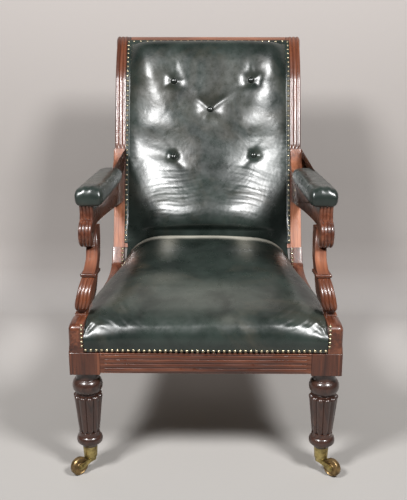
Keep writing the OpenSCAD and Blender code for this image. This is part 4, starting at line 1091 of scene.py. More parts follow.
@dataclass
class Back:
    """Stiles with reeded faces and scrolls, the crest rail and the outside back.

    The starts and the end are shares of the stile line's length, the turn is in degrees.
    """

    reeds: int = 3
    reed_start: float = 0.455
    crest_start: float = 0.865
    hide_end: float = 0.885
    scroll_turn: float = 262.0
    groove: float = 2.4
    crest_lap: float = 14.3
    crest_t: float = 30.7

    def thickness(self, s: Points) -> Points:
        """A stile's depth, which closes to the scroll's radius at its top."""
        close = smooth_step(s, STILE.length - 70, STILE.length - 8)
        return SIZE.stile_t + (SIZE.scroll_r - SIZE.stile_t) * close

    def stations(self, low: float) -> Points:
        """Distances along the stile's line from a low one on round the scroll."""
        wrap = STILE.length + SIZE.scroll_r * math.radians(self.scroll_turn)
        straight_part = np.linspace(low, STILE.length - 60, 150)
        return np.concatenate([straight_part, np.linspace(STILE.length - 58, wrap, 90)])

    def stile(self, side: Side) -> None:
        """One stile, swept along its line and round the scroll."""
        s = self.stations(0.0)
        start = STILE.length * self.reed_start
        width, rebate = SIZE.stile_w, SIZE.rebate_w

        def face(share: Points, across: Points) -> Points:
            """The rebate at the inner edge and the reeds beside it."""
            along = np.interp(share * (len(s) - 1), np.arange(len(s)), s)
            inner = (across + 1) / 2 * width
            grow = rounding(along - start, 7)
            rise = reed((inner - rebate) / (width - rebate) * self.reeds)
            held = (inner >= rebate) & (along > start)
            reeded = np.where(held, 1.2 * grow - (1 - rise) * self.groove * grow, 0.0)
            return np.where((inner < rebate) & (along < LEATHER_TOP), -SIZE.rebate_t, reeded)

        back = STILE.off(s, -self.thickness(s))
        loft = Loft(STILE.at(s), back, SIZE.back_x - width / 2, width / 2, 2.2, 84, face)
        shell = loft.shell().moved(lambda p: mirror(p, side))
        # Painted sheen: the stile's lower part, below the arm, is painted paler
        worn = 0.6 * (1 - smooth_step(shell.points[:, 2], SIZE.joint_z + 105, SIZE.joint_z + 135))
        node = f"back_stile_{side.word}"
        make(f"reeded_stile_{side.word}", shell, Finish.MAHOGANY, node, sharp=50, worn=worn)
        self.roundel(side, node)

    def roundel(self, side: Side, node: str) -> None:
        """The turned eye on the outer end of a scroll."""
        # Radius as a share of the scroll's, and how far it stands out
        rings = (
            ((0.9, 0.5), (0.85, 2.2), (0.72, 2.2), (0.66, 0.6)),
            ((0.66, 0.6), (0.6, -0.3), (0.45, -0.3), (0.38, 0.8)),
            ((0.38, 0.8), (0.3, 2.6), (0.1, 2.8), (0.3 / SIZE.scroll_r, 2.8)),
        )
        scale = np.array([SIZE.scroll_r, 1.0])
        curves = [bezier(np.array(ring) * scale, 10) for ring in rings]
        shell = Turning(chain(np.array([[0.9, -2.0], [0.9, 0.5]]) * scale, *curves), 48).shell()

        def put(p: Points) -> Points:
            """Lays the turning's axis across the chair at the scroll's end."""
            x, (y, z) = SIZE.back_x + p[:, 2], STILE.centre
            return mirror(np.stack([x, y + p[:, 0], z + p[:, 1]], 1), side)

        make(f"scroll_eye_{side.word}", shell.moved(put), Finish.MAHOGANY, node)

    def crest(self) -> None:
        """The crest rail: sunk behind the leather, then level with the stiles over the top."""
        edge = [LEATHER_TOP - 0.6, LEATHER_TOP - 0.3]
        s = np.sort(np.concatenate([self.stations(STILE.length * self.crest_start), edge]))
        front = STILE.off(s, np.where(s < np.mean(edge), -self.crest_lap, 0.0))
        back = STILE.off(s, -np.minimum(self.crest_t, self.thickness(s)))
        shell = Loft(front, back, 0.0, SIZE.stile_in - 0.1, 0.6, 40).shell().along(Grain.ACROSS)
        # Painted highlight: the top of the crest is painted paler
        worn = 0.3 * smooth_step(shell.points[:, 2], SIZE.overall_h - 12, SIZE.overall_h - 1)
        make("crest_scroll_rail", shell, Finish.MAHOGANY, "crest_rail", sharp=50, worn=worn)

    def outside(self) -> None:
        """The outside back: a sheet of hide between the stiles, a little full in the middle."""
        along = np.linspace(0, STILE.length * self.hide_end, 90)
        across = np.linspace(-1, 1, 70) * (SIZE.stile_in - SIZE.soft_gap)
        s, x = np.meshgrid(along, across, indexing="ij")
        full = (1 - (x / SIZE.stile_in) ** 4) * np.sin(np.pi * s / along[-1]) ** 0.6
        wave = waves(x, s, (0.013, 0.006, 0.4, 0.5), (0.02, -0.012, 2.0, 0.35), (0.004, 0.02, 1.1, 0.4))

        def sheet(depth: Value) -> Points:
            """Points at depths behind the stile's line."""
            flat = STILE.off(s.ravel(), -np.broadcast_to(depth, s.shape).ravel())
            return np.column_stack([x.ravel(), flat]).reshape(*s.shape, 3)

        shell = cushion_shell(sheet(SIZE.stile_t - 0.4 + full * (0.8 + wave)), sheet(SIZE.stile_t - 2.4))
        make("outside_back_hide", shell, Finish.LEATHER, "outside_back")

    def build(self) -> None:
        """Builds the woodwork of the back and its outside."""
        for side in Side:
            self.stile(side)
        self.crest()
        self.outside()


@dataclass
class Arms:
    """Arms with reeded volutes, their supports and their pads."""

    reeds: int = 4
    reed_depth: float = 2.6
    edge: float = 3.5
    droop: float = 8.0
    pad_in: float = 8.0
    rows: int = 110
    ramp: Points = field(init=False)
    ramp_top: Points = field(init=False)
    ramp_low: Points = field(init=False)
    arm_back_y: float = field(init=False)
    volute: Points = field(init=False)
    splay: float = field(init=False)
    foot_y: float = field(init=False)
    collar: float = field(init=False)

    # The support from its foot (0) past its collar (1): place, share of its lean, share of its width
    SUPPORT = (
        (0, 0, 0.44),
        (0.1, 0.12, 0.36),
        (0.2, 0.22, 0.45),
        (0.32, 0.34, 0.55),
        (0.5, 0.48, 0.55),
        (0.65, 0.58, 0.52),
        (0.85, 0.7, 0.49),
        (1, 0.8, 0.47),
        (1.15, 0.92, 0.45),
        (1.4, 1, 0.44),
        (1.7, 0.9, 0.44),
        (2.3, 0.65, 0.46),
    )

    def __post_init__(self) -> None:
        """Works out where the volute, the ramp and the support's collar lie."""
        r, t = SIZE.volute_r, SIZE.arm_t
        self.ramp = np.linspace(STILE.length * 0.445, STILE.length * 0.205, 30)
        self.ramp_top, self.ramp_low = STILE.at(self.ramp[[0, -1]])
        self.arm_back_y = self.ramp_top[0] - t * 2
        self.volute = np.array([SIZE.arm_front_y + r * 0.3, SIZE.arm_top_z - r * 2.17])
        self.splay = (SIZE.arm_front_x - SIZE.arm_back_x) / (self.ramp_top[0] - SIZE.arm_front_y)
        self.foot_y = SIZE.lap_y + t * 0.3
        self.collar = SIZE.shoulder_z + (self.volute[1] - SIZE.shoulder_z) * 0.483

    def outline(self) -> Points:
        """The arm's outline from its front top back, down the stile, forward and round the volute."""
        r, t, top = SIZE.volute_r, SIZE.arm_t, SIZE.arm_top_at
        y0, y1, z = SIZE.arm_front_y, self.arm_back_y, SIZE.arm_top_z
        lean, low, end = raked(SIZE.foot_rake), self.ramp_low, self.ramp_top
        throat, middle = y0 + r * 0.16, self.volute[1]
        rim = arc(self.volute, r, 15, -255, 90)
        return chain(
            straight(10, [y0, z], [y1, top(y1)]),
            bezier([[y1, top(y1)], [y1 + t, top(y1 + t)], end - t * 0.8 * lean, end], 26),
            STILE.at(self.ramp) + 0.6 * behind(SIZE.foot_rake),
            bezier([low, low + [-t * 2, t * 0.25], rim[0] + [r * 1.6, r * 0.1], rim[0]], 50),
            rim,
            bezier([rim[-1], [throat, middle + r * 1.3], [throat, middle + r * 1.6], [y0, z - r * 0.25]], 24),
            straight(4, [y0, z - r * 0.25], [y0, z]),
        )

    def turned(self, points: Points, side: Side) -> Points:
        """Sets the arm's middle plane out towards its front."""
        x = SIZE.arm_back_x + (self.ramp_top[0] - points[:, 1]) * self.splay + points[:, 0]
        return mirror(np.column_stack([x, points[:, 1:]]), side)

    def reeding(self, across: Points) -> Points:
        """How deep the grooves are at a share of the width, 0 on a reed's crown."""
        return 1 - reed(np.clip(across * self.reeds, 0, self.reeds - 1e-6))

    def arm(self, side: Side) -> None:
        """One arm, with reeds round the front of its volute and up its throat."""
        outline, r = self.outline(), SIZE.volute_r
        y, z = outline.T
        away = outline - self.volute
        angle = np.degrees(np.arctan2(away[:, 1], away[:, 0])) % 360
        rim = np.abs(np.linalg.norm(away, axis=1) - r) < 0.6
        ahead = (y < SIZE.arm_front_y + r * 0.6) & (z > self.volute[1] + r * 0.4) & (z < SIZE.arm_top_z - 3)
        reach = np.where(rim, smooth_step(angle, 60, 84) * (1 - smooth_step(angle, 292, 318)), 0.0)
        reach = np.maximum(reach, ahead)

        def reeds(share: Points, across: Points) -> Points:
            """Reeds across the width, where the outline is reeded."""
            held = np.interp(share * len(outline), np.arange(len(outline)), reach)
            return held * (1.0 - self.reeding(across) * self.reed_depth)

        shell = Board(outline, SIZE.arm_t, self.edge, self.edge, 76, reeds).shell().along(Grain.BACK)
        shell = shell.moved(lambda p: self.turned(p, side))
        # Painted sheen: the ramp rising to the stile is painted paler
        rise = shell.points[:, 2] - SIZE.arm_top_at(shell.points[:, 1])
        worn = 0.35 * smooth_step(rise, 1.0, 9.0)
        make(f"scroll_arm_{side.word}", shell, Finish.MAHOGANY, f"arm_{side.word}", sharp=50, worn=worn)

    def support_lines(self) -> tuple[Points, Points]:
        """The support's front and back lines, matched row by row: the scroll's, then the shaft's."""
        t, r, z0, y0 = SIZE.arm_t, SIZE.volute_r, SIZE.shoulder_z, self.foot_y
        bulge = z0 + (self.collar - z0) * 0.48
        top = self.volute + [r * 1.15, r * 0.12]
        neck = np.array([y0 - t * 0.1, z0 + 0.3])
        face = np.array([y0 + t * 0.62, self.collar])
        low = neck + [-t * 0.15, t * 0.45]
        rear = face + [t * 1.25, 0]
        front = chain(
            bezier([neck, neck + [t * 0.12, t * 0.2], neck + [t * 0.1, t * 0.42], low], 16),
            bezier([low, [y0 - t * 0.75, z0 + t * 0.55], [y0 - t * 0.75, bulge + t * 0.7], face], 60),
        )
        foot = [[y0 + t * 0.95, z0 + 0.3], [y0 + t * 1.25, z0 + t * 0.9]]
        back = bezier([*foot, face + [t * 0.95, -t * 1.2], rear], 60)
        shaft_top, shaft_end = top - [t * 0.72, 0], top + [t * 0.55, 0]
        shaft_front = bezier(
            [face + [0, t * 0.3], face + [t * 0.5, t * 0.75], top + [-t * 0.75, -t * 1.2], shaft_top], 60
        )
        shaft_back = bezier([rear, face + [t * 1.5, t * 0.9], top + [-t * 0.1, -t * 1.3], shaft_end], 60)
        upper, lower = (spread(shaft_front, 60), spread(shaft_back, 60)), (front, back)
        return tuple(np.concatenate([spread(a, self.rows), b]) for a, b in zip(lower, upper))

    def support(self, side: Side) -> None:
        """One support: reeded lower scroll, collar and shaft."""
        t, z0, y0, collar, rows = SIZE.arm_t, SIZE.shoulder_z, self.foot_y, self.collar, self.rows
        front, back = self.support_lines()
        middle = (front + back) / 2
        place, shift, wide = np.array(self.SUPPORT, float).T
        rise = (middle[:, 1] - z0) / (collar - z0)
        shift, wide = (evened(np.interp(rise, place, part), np.ones(9)) for part in (shift, wide))
        foot_x = SIZE.seat_w / 2 - SIZE.side_t / 2 - SIZE.plan_slope * (y0 + t * 0.3)
        centre = foot_x - (collar - z0) * math.tan(math.radians(SIZE.lean)) * 1.6 * shift

        def placed(p: Points) -> Points:
            """Turns each row of the support in plan, along the side rail, and sets it on its side."""
            ahead = p[:, 1] - np.interp(p[:, 2], middle[:, 1], middle[:, 0])
            return mirror(np.column_stack([p[:, 0] - ahead * SIZE.plan_slope, p[:, 1:]]), side)

        def reeds(share: Points, across: Points) -> Points:
            """Reeds over the front of the lower scroll."""
            row = share * (rows - 1)
            held = smooth_step(row, 14, 24) * (1 - smooth_step(row, rows - 8, rows - 2))
            return held * (1.6 - self.reeding((across + 1) / 2) * (self.reed_depth + 0.6))

        node = f"arm_support_{side.word}"
        pieces = (("scroll", slice(0, rows), 72, reeds), ("shaft", slice(rows, None), 4, None))
        for piece, part, columns, relief in pieces:
            shell = Loft(front[part], back[part], centre[part], t * wide[part], 4.0, columns, relief).shell()
            # Painted highlight: a pale band on the shaft's front, just above the collar
            worn = 0.35 * hill(shell.points[:, 2], collar + 34, 20) * (shell.grain[:, 2] < 1.0)
            name = f"arm_support_{piece}_{side.word}"
            make(name, shell.moved(placed), Finish.MAHOGANY, node, sharp=50, worn=worn)
        x, half, y1 = centre[rows], 0.5916 * t, y0 + t * 0.62
        low, high = (x - half, y1 - t * 0.12, collar + t * 0.02), (x + half, y1 + t * 1.38, collar + t * 0.29)
        ring = rounded_box(low, high, 3.6).along(Grain.BACK)
        make(f"arm_support_collar_{side.word}", ring.moved(placed), Finish.MAHOGANY, node)

    def pad(self, side: Side) -> None:
        """One arm pad, stuffed over the arm, blunt and drooping in front and lower behind.

        A cross-section follows a cosine across and a sine up, both raised to a power for a
        fuller shape, with the crown, the width and the droop closing in at both ends.
        """
        end = (1 - np.cos(np.linspace(0, np.pi, 130))) / 2
        t, a = np.meshgrid(end, np.linspace(0, np.pi, 90), indexing="ij")
        low_y = SIZE.arm_front_y - SIZE.arm_t * 0.25
        high_y = self.arm_back_y - SIZE.arm_t * 3
        y = low_y + (high_y - low_y) * t
        ahead = y - low_y
        nose, heel = rounding(ahead, 24), rounding(high_y - y, 18)
        c, rise = np.cos(a), np.sin(a)
        half = SIZE.pad_w / 2 * (0.97 - 0.05 * t) * (0.72 + 0.28 * nose) * (0.76 + 0.24 * heel)
        x = -half * np.sign(c) * np.abs(c) ** 0.8 - self.pad_in * (1 - t)
        base = SIZE.arm_top_at(y) + 0.3
        crown = SIZE.pad_h * (1.24 - 0.2 * t)
        middle = crown * 0.3
        fold = 1.3 * np.sin(x * 0.33 + 0.8) * hill(ahead, 13, 12)
        wave = waves(x, y, (0.05, 0.021, 0.3, 0.6), (0.03, -0.033, 1.7, 0.5), (0.09, 0.05, 0.9, 0.3))
        full = ((crown - middle) * rise**0.7 + (wave + fold) * rise) * nose * heel
        under = rounding(ahead, 7) * heel * np.sqrt(1 - np.abs(c) ** 6)
        low = base + middle - (middle + self.droop) * under
        over_arm = (np.abs(x) < SIZE.arm_t / 2 + 0.8) & (y > SIZE.arm_front_y - 0.8)
        lower = np.where(over_arm, np.maximum(low, base), low)
        shell = cushion_shell(np.stack([x, y, base + middle + full], -1), np.stack([x, y, lower], -1))
        shell = shell.moved(lambda p: self.turned(p, side))
        obj = make(f"arm_pad_hide_{side.word}", shell, Finish.LEATHER, f"arm_pad_{side.word}", sharp=70)

    def build(self) -> None:
        """Builds both arms with their supports and pads."""
        for side in Side:
            self.arm(side)
            self.support(side)
            self.pad(side)


@dataclass
class Seat:
    """The crowned seat in hide, rolled over the front and drawn in at its tucked edges."""

    crown_z: float = 477.0
    side_drop: float = 40.0
    edge_lift: float = 8.0
    swell: float = 26.0
    leg_gap: float = 2.04
    welt: float = 6.0
    welt_groove: float = 2.0
    corner: float = 8.0
    # Strengths of the painted highlight along the back rim and of the painted sheen in two bands behind
    rim_wear: float = 1.3
    band_wear: float = 0.55
    rows: int = 190
    columns: int = 200
    base_z: float = field(init=False)
    rise: float = field(init=False)
    back_y: float = field(init=False)

    # The middle line of the seat's top: shares of its depth and of its rise
    PROFILE = (
        ((0, 0.03), (0, 0.09), (-0.005, 0.13), (-0.008, 0.24), (-0.003, 0.37), (0.013, 0.5))
        + ((0.045, 0.61), (0.09, 0.7), (0.16, 0.785), (0.27, 0.87), (0.4, 0.935), (0.55, 0.98))
        + ((0.7, 1), (0.82, 1), (0.92, 0.992), (0.97, 0.965), (0.992, 0.91), (1, 0.8))
    )
    # How far the seat stands out over the side rails: share of the depth, share of the swell
    SWELL = (
        ((0.18, 0.0), (0.22, 0.04), (0.3, 0.5), (0.42, 1.0), (0.55, 0.95))
        + ((0.7, 0.65), (0.85, 0.42), (0.93, 0.3), (0.97, 0.0), (1.0, 0.0))
    )
    # Rubbed patches: across, back, half their width and depth, strength
    PATCHES = (
        (-108, 195, 52, 38, 0.17),
        (-185, 395, 16, 45, 0.13),
        (20, 160, 80, 30, 0.05),
        (60, 20, 30, 14, 0.12),
        (0, 95, 210, 60, 0.1),
    )
    # Slow waves of the seat's top: turn across, turn back, phase and height
    WAVES = (
        (0.011, 0.017, 0.4, 1.3),
        (-0.021, 0.012, 1.9, 0.8),
        (0.034, 0.008, 2.6, 0.6),
        (0.006, -0.03, 0.2, 0.8),
    )

    def __post_init__(self) -> None:
        """Works out the seat's base, rise and back."""
        self.base_z = SIZE.rail_top + 2 * SIZE.web_t + SIZE.soft_gap
        self.rise = self.crown_z - self.base_z
        self.back_y = SIZE.joint_y - 4 * SIZE.soft_gap

    def hold(self, y: Points) -> Points:
        """Half the seat's width where it is held: by the rails, then by the back legs."""
        inside = SIZE.inside_x(y)
        legs = np.minimum(inside, SIZE.back_x - SIZE.back_leg_t)
        return np.where(y < self.back_y * 0.94, inside, legs - self.leg_gap) - SIZE.soft_gap

    def edge_z(self, t: Points, h: Points) -> Points:
        """Height of the seat's edge: low on the front roll, then just over the side rail."""
        roll = self.base_z + self.rise * h - self.side_drop * h * h
        rail = self.rail_line(self.back_y * np.maximum(t, 0)) + self.edge_lift
        gap = roll - rail
        return np.where(h < 0.3, roll, (roll + rail - np.sqrt(gap * gap + 9.0)) / 2)

    def rail_line(self, y: Points) -> Points:
        """Height of a side rail's inner top edge at a distance back."""
        slope = SIZE.side_t * math.sin(math.atan(SIZE.plan_slope))
        line = SeatFrame().side_outline()
        top = line[line[:, 1] > SIZE.rail_top + 0.2]
        top = top[np.argsort(top[:, 0], kind="stable")]
        return np.interp(np.maximum(y, SIZE.lap_y) + slope, top[:, 0], top[:, 1])

    def profile(self) -> tuple[Points, Points]:
        """The middle line of the seat's top, eased: shares of its depth and of its rise."""
        scale = np.array([self.back_y, self.rise])
        line = closer(np.array(self.PROFILE) * scale, 2.0)
        eased = np.stack([evened(line[:, k], np.hanning(15)) for k in (0, 1)], 1)
        return tuple((spread(eased, self.rows) / scale).T)

    def sheets(self) -> tuple[Points, Points]:
        """The upper and lower sheets of the seat.

        Rows run back over the profile, columns across. The crown falls to the edge with the
        sixth power of the share across; waves, creases and a welt at the back lie on it.
        """
        t, h = self.profile()
        u = sine_row(self.columns, 0.94)
        t2, u2 = np.meshgrid(t, u, indexing="ij")
        h2 = np.broadcast_to(h[:, None], t2.shape)
        y = self.back_y * np.maximum(t2, 0)
        share, part = np.array(self.SWELL).T
        wide = evened(self.swell * np.interp(y[:, 0] / SIZE.leg_face_y, share, part), np.hanning(23))
        x = u2 * (self.hold(y) + wide[:, None])
        crown = self.base_z + self.rise * h2
        z = crown - (crown - self.edge_z(t, h)[:, None]) * np.abs(u2) ** 6
        ys = self.back_y * t2 - SIZE.reed_out * (1 - u2**2) * np.clip(1 - np.abs(t2) * 10, 0, 1)
        calm = smooth_step(h2, 0.25, 0.75) * (1 - u2**6) * (1 - smooth_step(t2, 0.94, 1.0))
        welt = self.welt * hill(t2, 0.958, 0.012) - self.welt_groove * hill(t2, 0.93, 0.008)
        z = z + waves(x, ys, *self.WAVES) * calm + self.creases(x, ys, h2) + welt * (1 - u2**8)
        ys = ys + self.corner * hill(h2, 0.47, 0.13) * smooth_step(np.abs(x), 180, 300) * (t2 < 0.5)
        upper = np.stack([x, ys, z], -1)
        tuck = self.tucks(t, upper)
        upper = np.concatenate([tuck[:, :1], upper, tuck[:, 1:]], 1)
        foot_x = u2 * (self.hold(self.back_y * np.maximum(t, 0.001))[:, None] - 1.2)
        foot_y = self.back_y * np.maximum(t2, np.linspace(0.002, 0.04, self.rows)[:, None])
        lift = SIZE.reed_out * (1 - u2**2) * np.sin(np.pi * np.clip(foot_y / self.back_y, 0, 1))
        foot = np.stack([foot_x, foot_y, self.base_z + lift], -1)
        return upper, np.concatenate([foot[:, :1], foot, foot[:, -1:]], 1)

    def tucks(self, t: Points, upper: Points) -> Points:
        """Where the hide turns in over the side rails, left and right of each row."""
        y = self.back_y * np.maximum(t, 0.001)
        rail, half = self.rail_line(y) + 0.9, self.hold(y) - 0.2
        ends = upper[:, [0, -1]]
        low = np.minimum(rail[:, None], ends[..., 2] - 1.8)
        return np.stack([np.stack([-half, half], 1), ends[..., 1], low], -1)

    def creases(self, x: Points, y: Points, h: Points) -> Points:
        """Folds that run in from the front corners and soft dents along the front roll."""
        total = np.zeros_like(x)
        half = float(SIZE.inside_x(0.0))
        for sign in (-1, 1):
            dx, dy = half - sign * x, y + 6
            reach = np.hypot(dx, dy)
            fade = hill(reach, 0, 75) * smooth_step(reach, 4, 22) * smooth_step(h, 0.2, 0.5)
            total += fade * 1.6 * np.sin(np.arctan2(dy, dx) * 9 + sign)
        front = hill(h, 0.55, 0.18) * (1 - np.clip(np.abs(x) / half, 0, 1) ** 8)
        ends = smooth_step(np.abs(x), 90, 240) * hill(h, 0.62, 0.17)
        lean = np.abs(x) * 0.26 - h * 62 + 1.5 * np.sin(x * 0.05)
        total += ends * waves(lean, 0, (0.6, 0, 0, 0.7), (1.3, 0, 1, 0.3), (2.6, 0, 0, 0.12))
        return total + front * waves(x, 0, (0.043, 0, 0.7, 0.7), (0.081, 0, 2.0, 0.5))

    def rubbed(self, p: Points) -> Points:
        """Where the hide is made pale: a painted highlight along its back rim, rubbed patches in front and
        two bands of painted sheen behind.
        """
        x, y, z = p.T
        back = y / self.back_y
        # Painted highlight on the rim and painted sheen in the two bands; the patches are wear
        rim = self.rim_wear * hill(back, 0.955, 0.014) * smooth_step(z, self.crown_z - 50, self.crown_z - 12)
        sheen_bands = (hill(x, -112, 24) + hill(x, 108, 24)) * smooth_step(back, 0.5, 0.9) * self.band_wear
        patches = sum(k * hill(x, a, c) * hill(y, b, d) for a, b, c, d, k in self.PATCHES)
        return np.clip(rim + sheen_bands + patches * smooth_step(z, self.crown_z - 90, self.crown_z - 60), 0, 1)

    def build(self) -> None:
        """Builds the seat."""
        shell = cushion_shell(*self.sheets())
        worn = self.rubbed(shell.points)
        make("seat_hide", shell, Finish.LEATHER, "seat_cushion", sharp=75, worn=worn)


@dataclass
class InsideBack:
    """The tufted inside back with its five buttons."""

    bulge: float = 30.0
    dip: float = 9.0
    reaches: tuple[float, ...] = (27.0, 27.0, 40.0, 16.0, 16.0)
    button_d: float = 17.0
    button_rise: float = 3.0
    depth: float = 14.0
    flange_t: float = 2.7
    top_roll: float = 14.0
    waist: float = 2.5
    roll: float = 14.0
    press: float = 44.0
    pull_z: float = 384.5
    flare: float = 1.026
    lift: float = 0.6
    rows: int = 210
    columns: int = 190
    pad_half: float = field(init=False)
    seat_y: float = field(init=False)
    spots: list[tuple[float, float]] = field(init=False)

    # Pleats from a pair of buttons: step outward and up, depth and width
    PLEATS = {
        0: ((62, 34, 0.8, 9.0), (-6, 60, 1.2, 9.0), (46, -40, 0.6, 8.0)),
        3: ((120, 30, 2.5, 20.0), (34, 52, 0.8, 8.0), (-40, -46, 1.4, 9.0)),
    }

    def __post_init__(self) -> None:
        """Places the buttons across and along the back."""
        self.pad_half = SIZE.stile_in - SIZE.soft_gap
        self.seat_y = SIZE.joint_y - 2 * SIZE.soft_gap
        self.spots = [(u * self.pad_half, BACK_LOW + v * BACK_LEN) for u, v in BUTTONS]

    def plump(self, x: Points, s: Points) -> Points:
        """How far the hide stands out in front of the stiles' line.

        Below, the bulge falls to the sides with the square of the share across; above, it
        stays level and falls beyond a line that moves outward with the height. Hollows round
        the buttons, a roll under the crest and a swelling in the middle are added.
        """
        u = np.minimum(np.abs(x) / self.pad_half, 1)
        v = (s - BACK_LOW) / BACK_LEN
        w = np.clip((2 * v - 1) / 0.943, 0, 1)
        foot = 0.55 + 0.45 * np.sin(np.pi / 2 * np.clip(v / 0.08, 0, 1))
        flat = 0.12 + 0.5 * smooth_step(v, 0.42, 0.72) + 0.22 * smooth_step(v, 0.66, 0.92)
        fall = (np.sqrt((u - flat) ** 2 + 0.006) + u - flat) / 2 / (1 - flat)
        upper = 1 - 0.78 * np.minimum(fall, 1) ** 1.3 - 0.22 * u**8
        lower = (1 - 0.85 * u**2 - 0.15 * u**8) * (1.42 - 0.42 * smooth_step(v, 0.2, 0.41))
        full = (lower + (upper - lower) * smooth_step(v, 0.36, 0.52)) * (1 - 0.2 * w**2 - 0.8 * w**40) * foot
        hollow = np.zeros_like(x)
        for (bx, bs), reach in zip(self.spots, self.reaches):
            d = np.hypot(x - bx, s - bs) / reach
            pull = 1 + 0.12 * np.sin(5 * np.arctan2(s - bs, x - bx) + bx) * smooth_step(d, 0.2, 0.6)
            hollow = np.maximum(hollow, np.exp(-d * d * 1.6 * pull))
        rolled = self.top_roll * smooth_step(v, 0.76, 0.93) * (1 - w**30)
        middle = self.waist * hill(v, 0.56, 0.055) * smooth_step(u, 0.2, 0.5)
        out = self.bulge * full + (rolled + middle) * (1 - u**6)
        out = out - self.dip * hollow * np.minimum(1, full * 2)
        return out - self.pleats(x, s) * np.minimum(1, full * 1.6)

    def pleats(self, x: Points, s: Points) -> Points:
        """Soft valleys: a V from the middle button up to the top two, and others outward."""
        b = self.spots
        lines = [(b[2], b[0], 2.4, 11.0), (b[2], b[1], 2.4, 11.0)]
        for first, pleats in self.PLEATS.items():
            for (bx, bs), sign in ((b[first], -1), (b[first + 1], 1)):
                lines += [((bx, bs), (bx + sign * out, bs + up), *rest) for out, up, *rest in pleats]
        total = np.zeros_like(x)
        for (ax, az), (cx, cz), depth, width in lines:
            dx, dz = cx - ax, cz - az
            length = math.hypot(dx, dz)
            along = ((x - ax) * dx + (s - az) * dz) / length / length
            side = ((x - ax) * dz - (s - az) * dx) / length
            held = smooth_step(along, -0.05, 0.12) * (1 - smooth_step(along, 0.55, 1.05))
            total += depth * held * hill(side, 0, width * (0.8 + 0.5 * np.clip(along, 0, 1)))
        return total

    def wrinkles(self, x: Points, s: Points) -> Points:
        """Fine folds, nearly level, below the lower buttons and towards the seat."""
        total = np.zeros_like(x)
        for bx, bs in self.spots[3:]:
            line = 0.34 * (s - bs) + 0.05 * np.abs(x) + 1.1 * np.sin(0.05 * x + bx)
            line += 0.9 * np.sin(0.021 * x - 0.04 * s)
            held = hill(x, bx * 0.86, 70 + 0.25 * np.abs(bs - s))
            held = held * smooth_step(bs - s, 8, 60) * (1 - smooth_step(bs - s, 150, 230))
            folds = (1, 0, 0, 0.13), (1.7, 0.06, 0, 0.1), (3.1, -0.11, 0, 0.08), (5.3, 0.2, 0, 0.04)
            total += held * waves(line, x, *folds)
        return total

    def pressed(self, out: Points, s: Points) -> Points:
        """The outward distance, eased back to where the seat's back edge presses."""
        line, back = STILE.at(s.ravel()), STILE.back(s.ravel())
        over = np.clip(line[:, 1] - SIZE.joint_z - self.press, 0, None) * 1.6
        room = ((line[:, 0] - self.seat_y + over) / np.maximum(back[:, 0], 0.2)).reshape(out.shape)
        gap = out - room
        return (out + room - np.sqrt(gap * gap + 90.0)) / 2

    def surface(self) -> Shell:
        """The closed pad: front sheet, nailed flanges, rear sheet and the part behind the seat."""
        half, step = self.pad_half, SIZE.stile_in - 0.1
        flange = SIZE.stile_in + SIZE.rebate_w - SIZE.soft_gap
        inner = sine_row(self.columns, 0.95) * half
        across = np.concatenate([[-flange, -flange + 1.2, -step], inner, [step, flange - 1.2, flange]])
        s, x = np.meshgrid(BACK_LOW + BACK_LEN * np.linspace(0, 1, self.rows), across, indexing="ij")
        away = half - np.abs(x)
        ruck = waves(x, s, (0.03, 0.05, 0.5, 0.4), (0.06, -0.04, 1.9, 0.25), (0.018, 0.08, 0.8, 0.2))
        gather = 0.5 * np.sin(s * 0.42 + 0.6 * np.sin(s * 0.05)) * hill(away, 0, 14) * (away > 0)
        out = self.lift + self.plump(x, s) + (ruck + self.wrinkles(x, s) + gather) * np.clip(away / 26, 0, 1)
        out = out + self.roll * hill(s, 100, 55) * (1 - np.minimum(np.abs(x) / half, 1) ** 2)
        out = np.where(away > -0.1, self.pressed(out, s), self.lift)
        rear = np.where(away < -0.1, -self.flange_t, -self.depth)

        def sheet(lift: Points, low_y: float, back: float) -> Points:
            """Points standing out from the stile's line, with rows behind the seat below them."""
            flat = STILE.off(s.ravel(), lift.ravel())
            main = np.column_stack([x.ravel(), flat]).reshape(*s.shape, 3)
            edge = half + np.where(np.abs(across) > step + 0.5, 0.28, 0.14)
            near_x = np.sign(across) * np.minimum(np.abs(across), edge)
            near = np.stack([near_x, main[0, :, 1] - back, main[0, :, 2] - 1.5], -1)
            low = np.stack([near_x * self.flare, 0 * across + low_y, 0 * across + self.pull_z], -1)
            return np.concatenate([low + (near - low) * np.linspace(0, 1, 12)[:, None, None], main])

        return cushion_shell(sheet(out, self.seat_y, 0.0), sheet(rear, self.seat_y + 5.6, 1.5))

    def button(self, number: int, x: float, s: float) -> None:
        """One covered button, a low dome facing out of its hollow."""
        r = self.button_d / 2
        hide = self.lift + self.plump(np.array([x]), np.array([s]))[0]
        out = float(hide) + self.dip * 0.3 + self.button_rise
        # Radius and height as shares of the button's radius
        edge, side, crown = (0.97, -0.4), (0.7, 0.32), (0.2 / r, 0.47)
        wall = bezier([edge, (1.06, -0.05), (0.92, 0.2), side], 12)
        dome = bezier([side, (0.45, 0.44), (0.2, 0.47), crown], 10)
        shell = Turning(chain(np.array([(0.7, -0.62), edge]) * r, wall * r, dome * r), 40).shell()
        place, back = STILE.off(s, out)[0], STILE.back(s)[0]
        up = np.array([-back[1], back[0]])

        def put(p: Points) -> Points:
            """Turns the dome to face out of the back."""
            return np.column_stack([x + p[:, 0], place + p[:, 1:2] * up - p[:, 2:3] * back])

        obj = make(f"covered_button_{number}", shell.moved(put), Finish.BUTTON, "back_buttons")

    def build(self) -> None:
        """Builds the pad and its buttons."""
        make("inside_back_hide", self.surface(), Finish.LEATHER, "back_cushion", sharp=75)
        for number, (x, s) in enumerate(self.spots, 1):
            self.button(number, x, s)


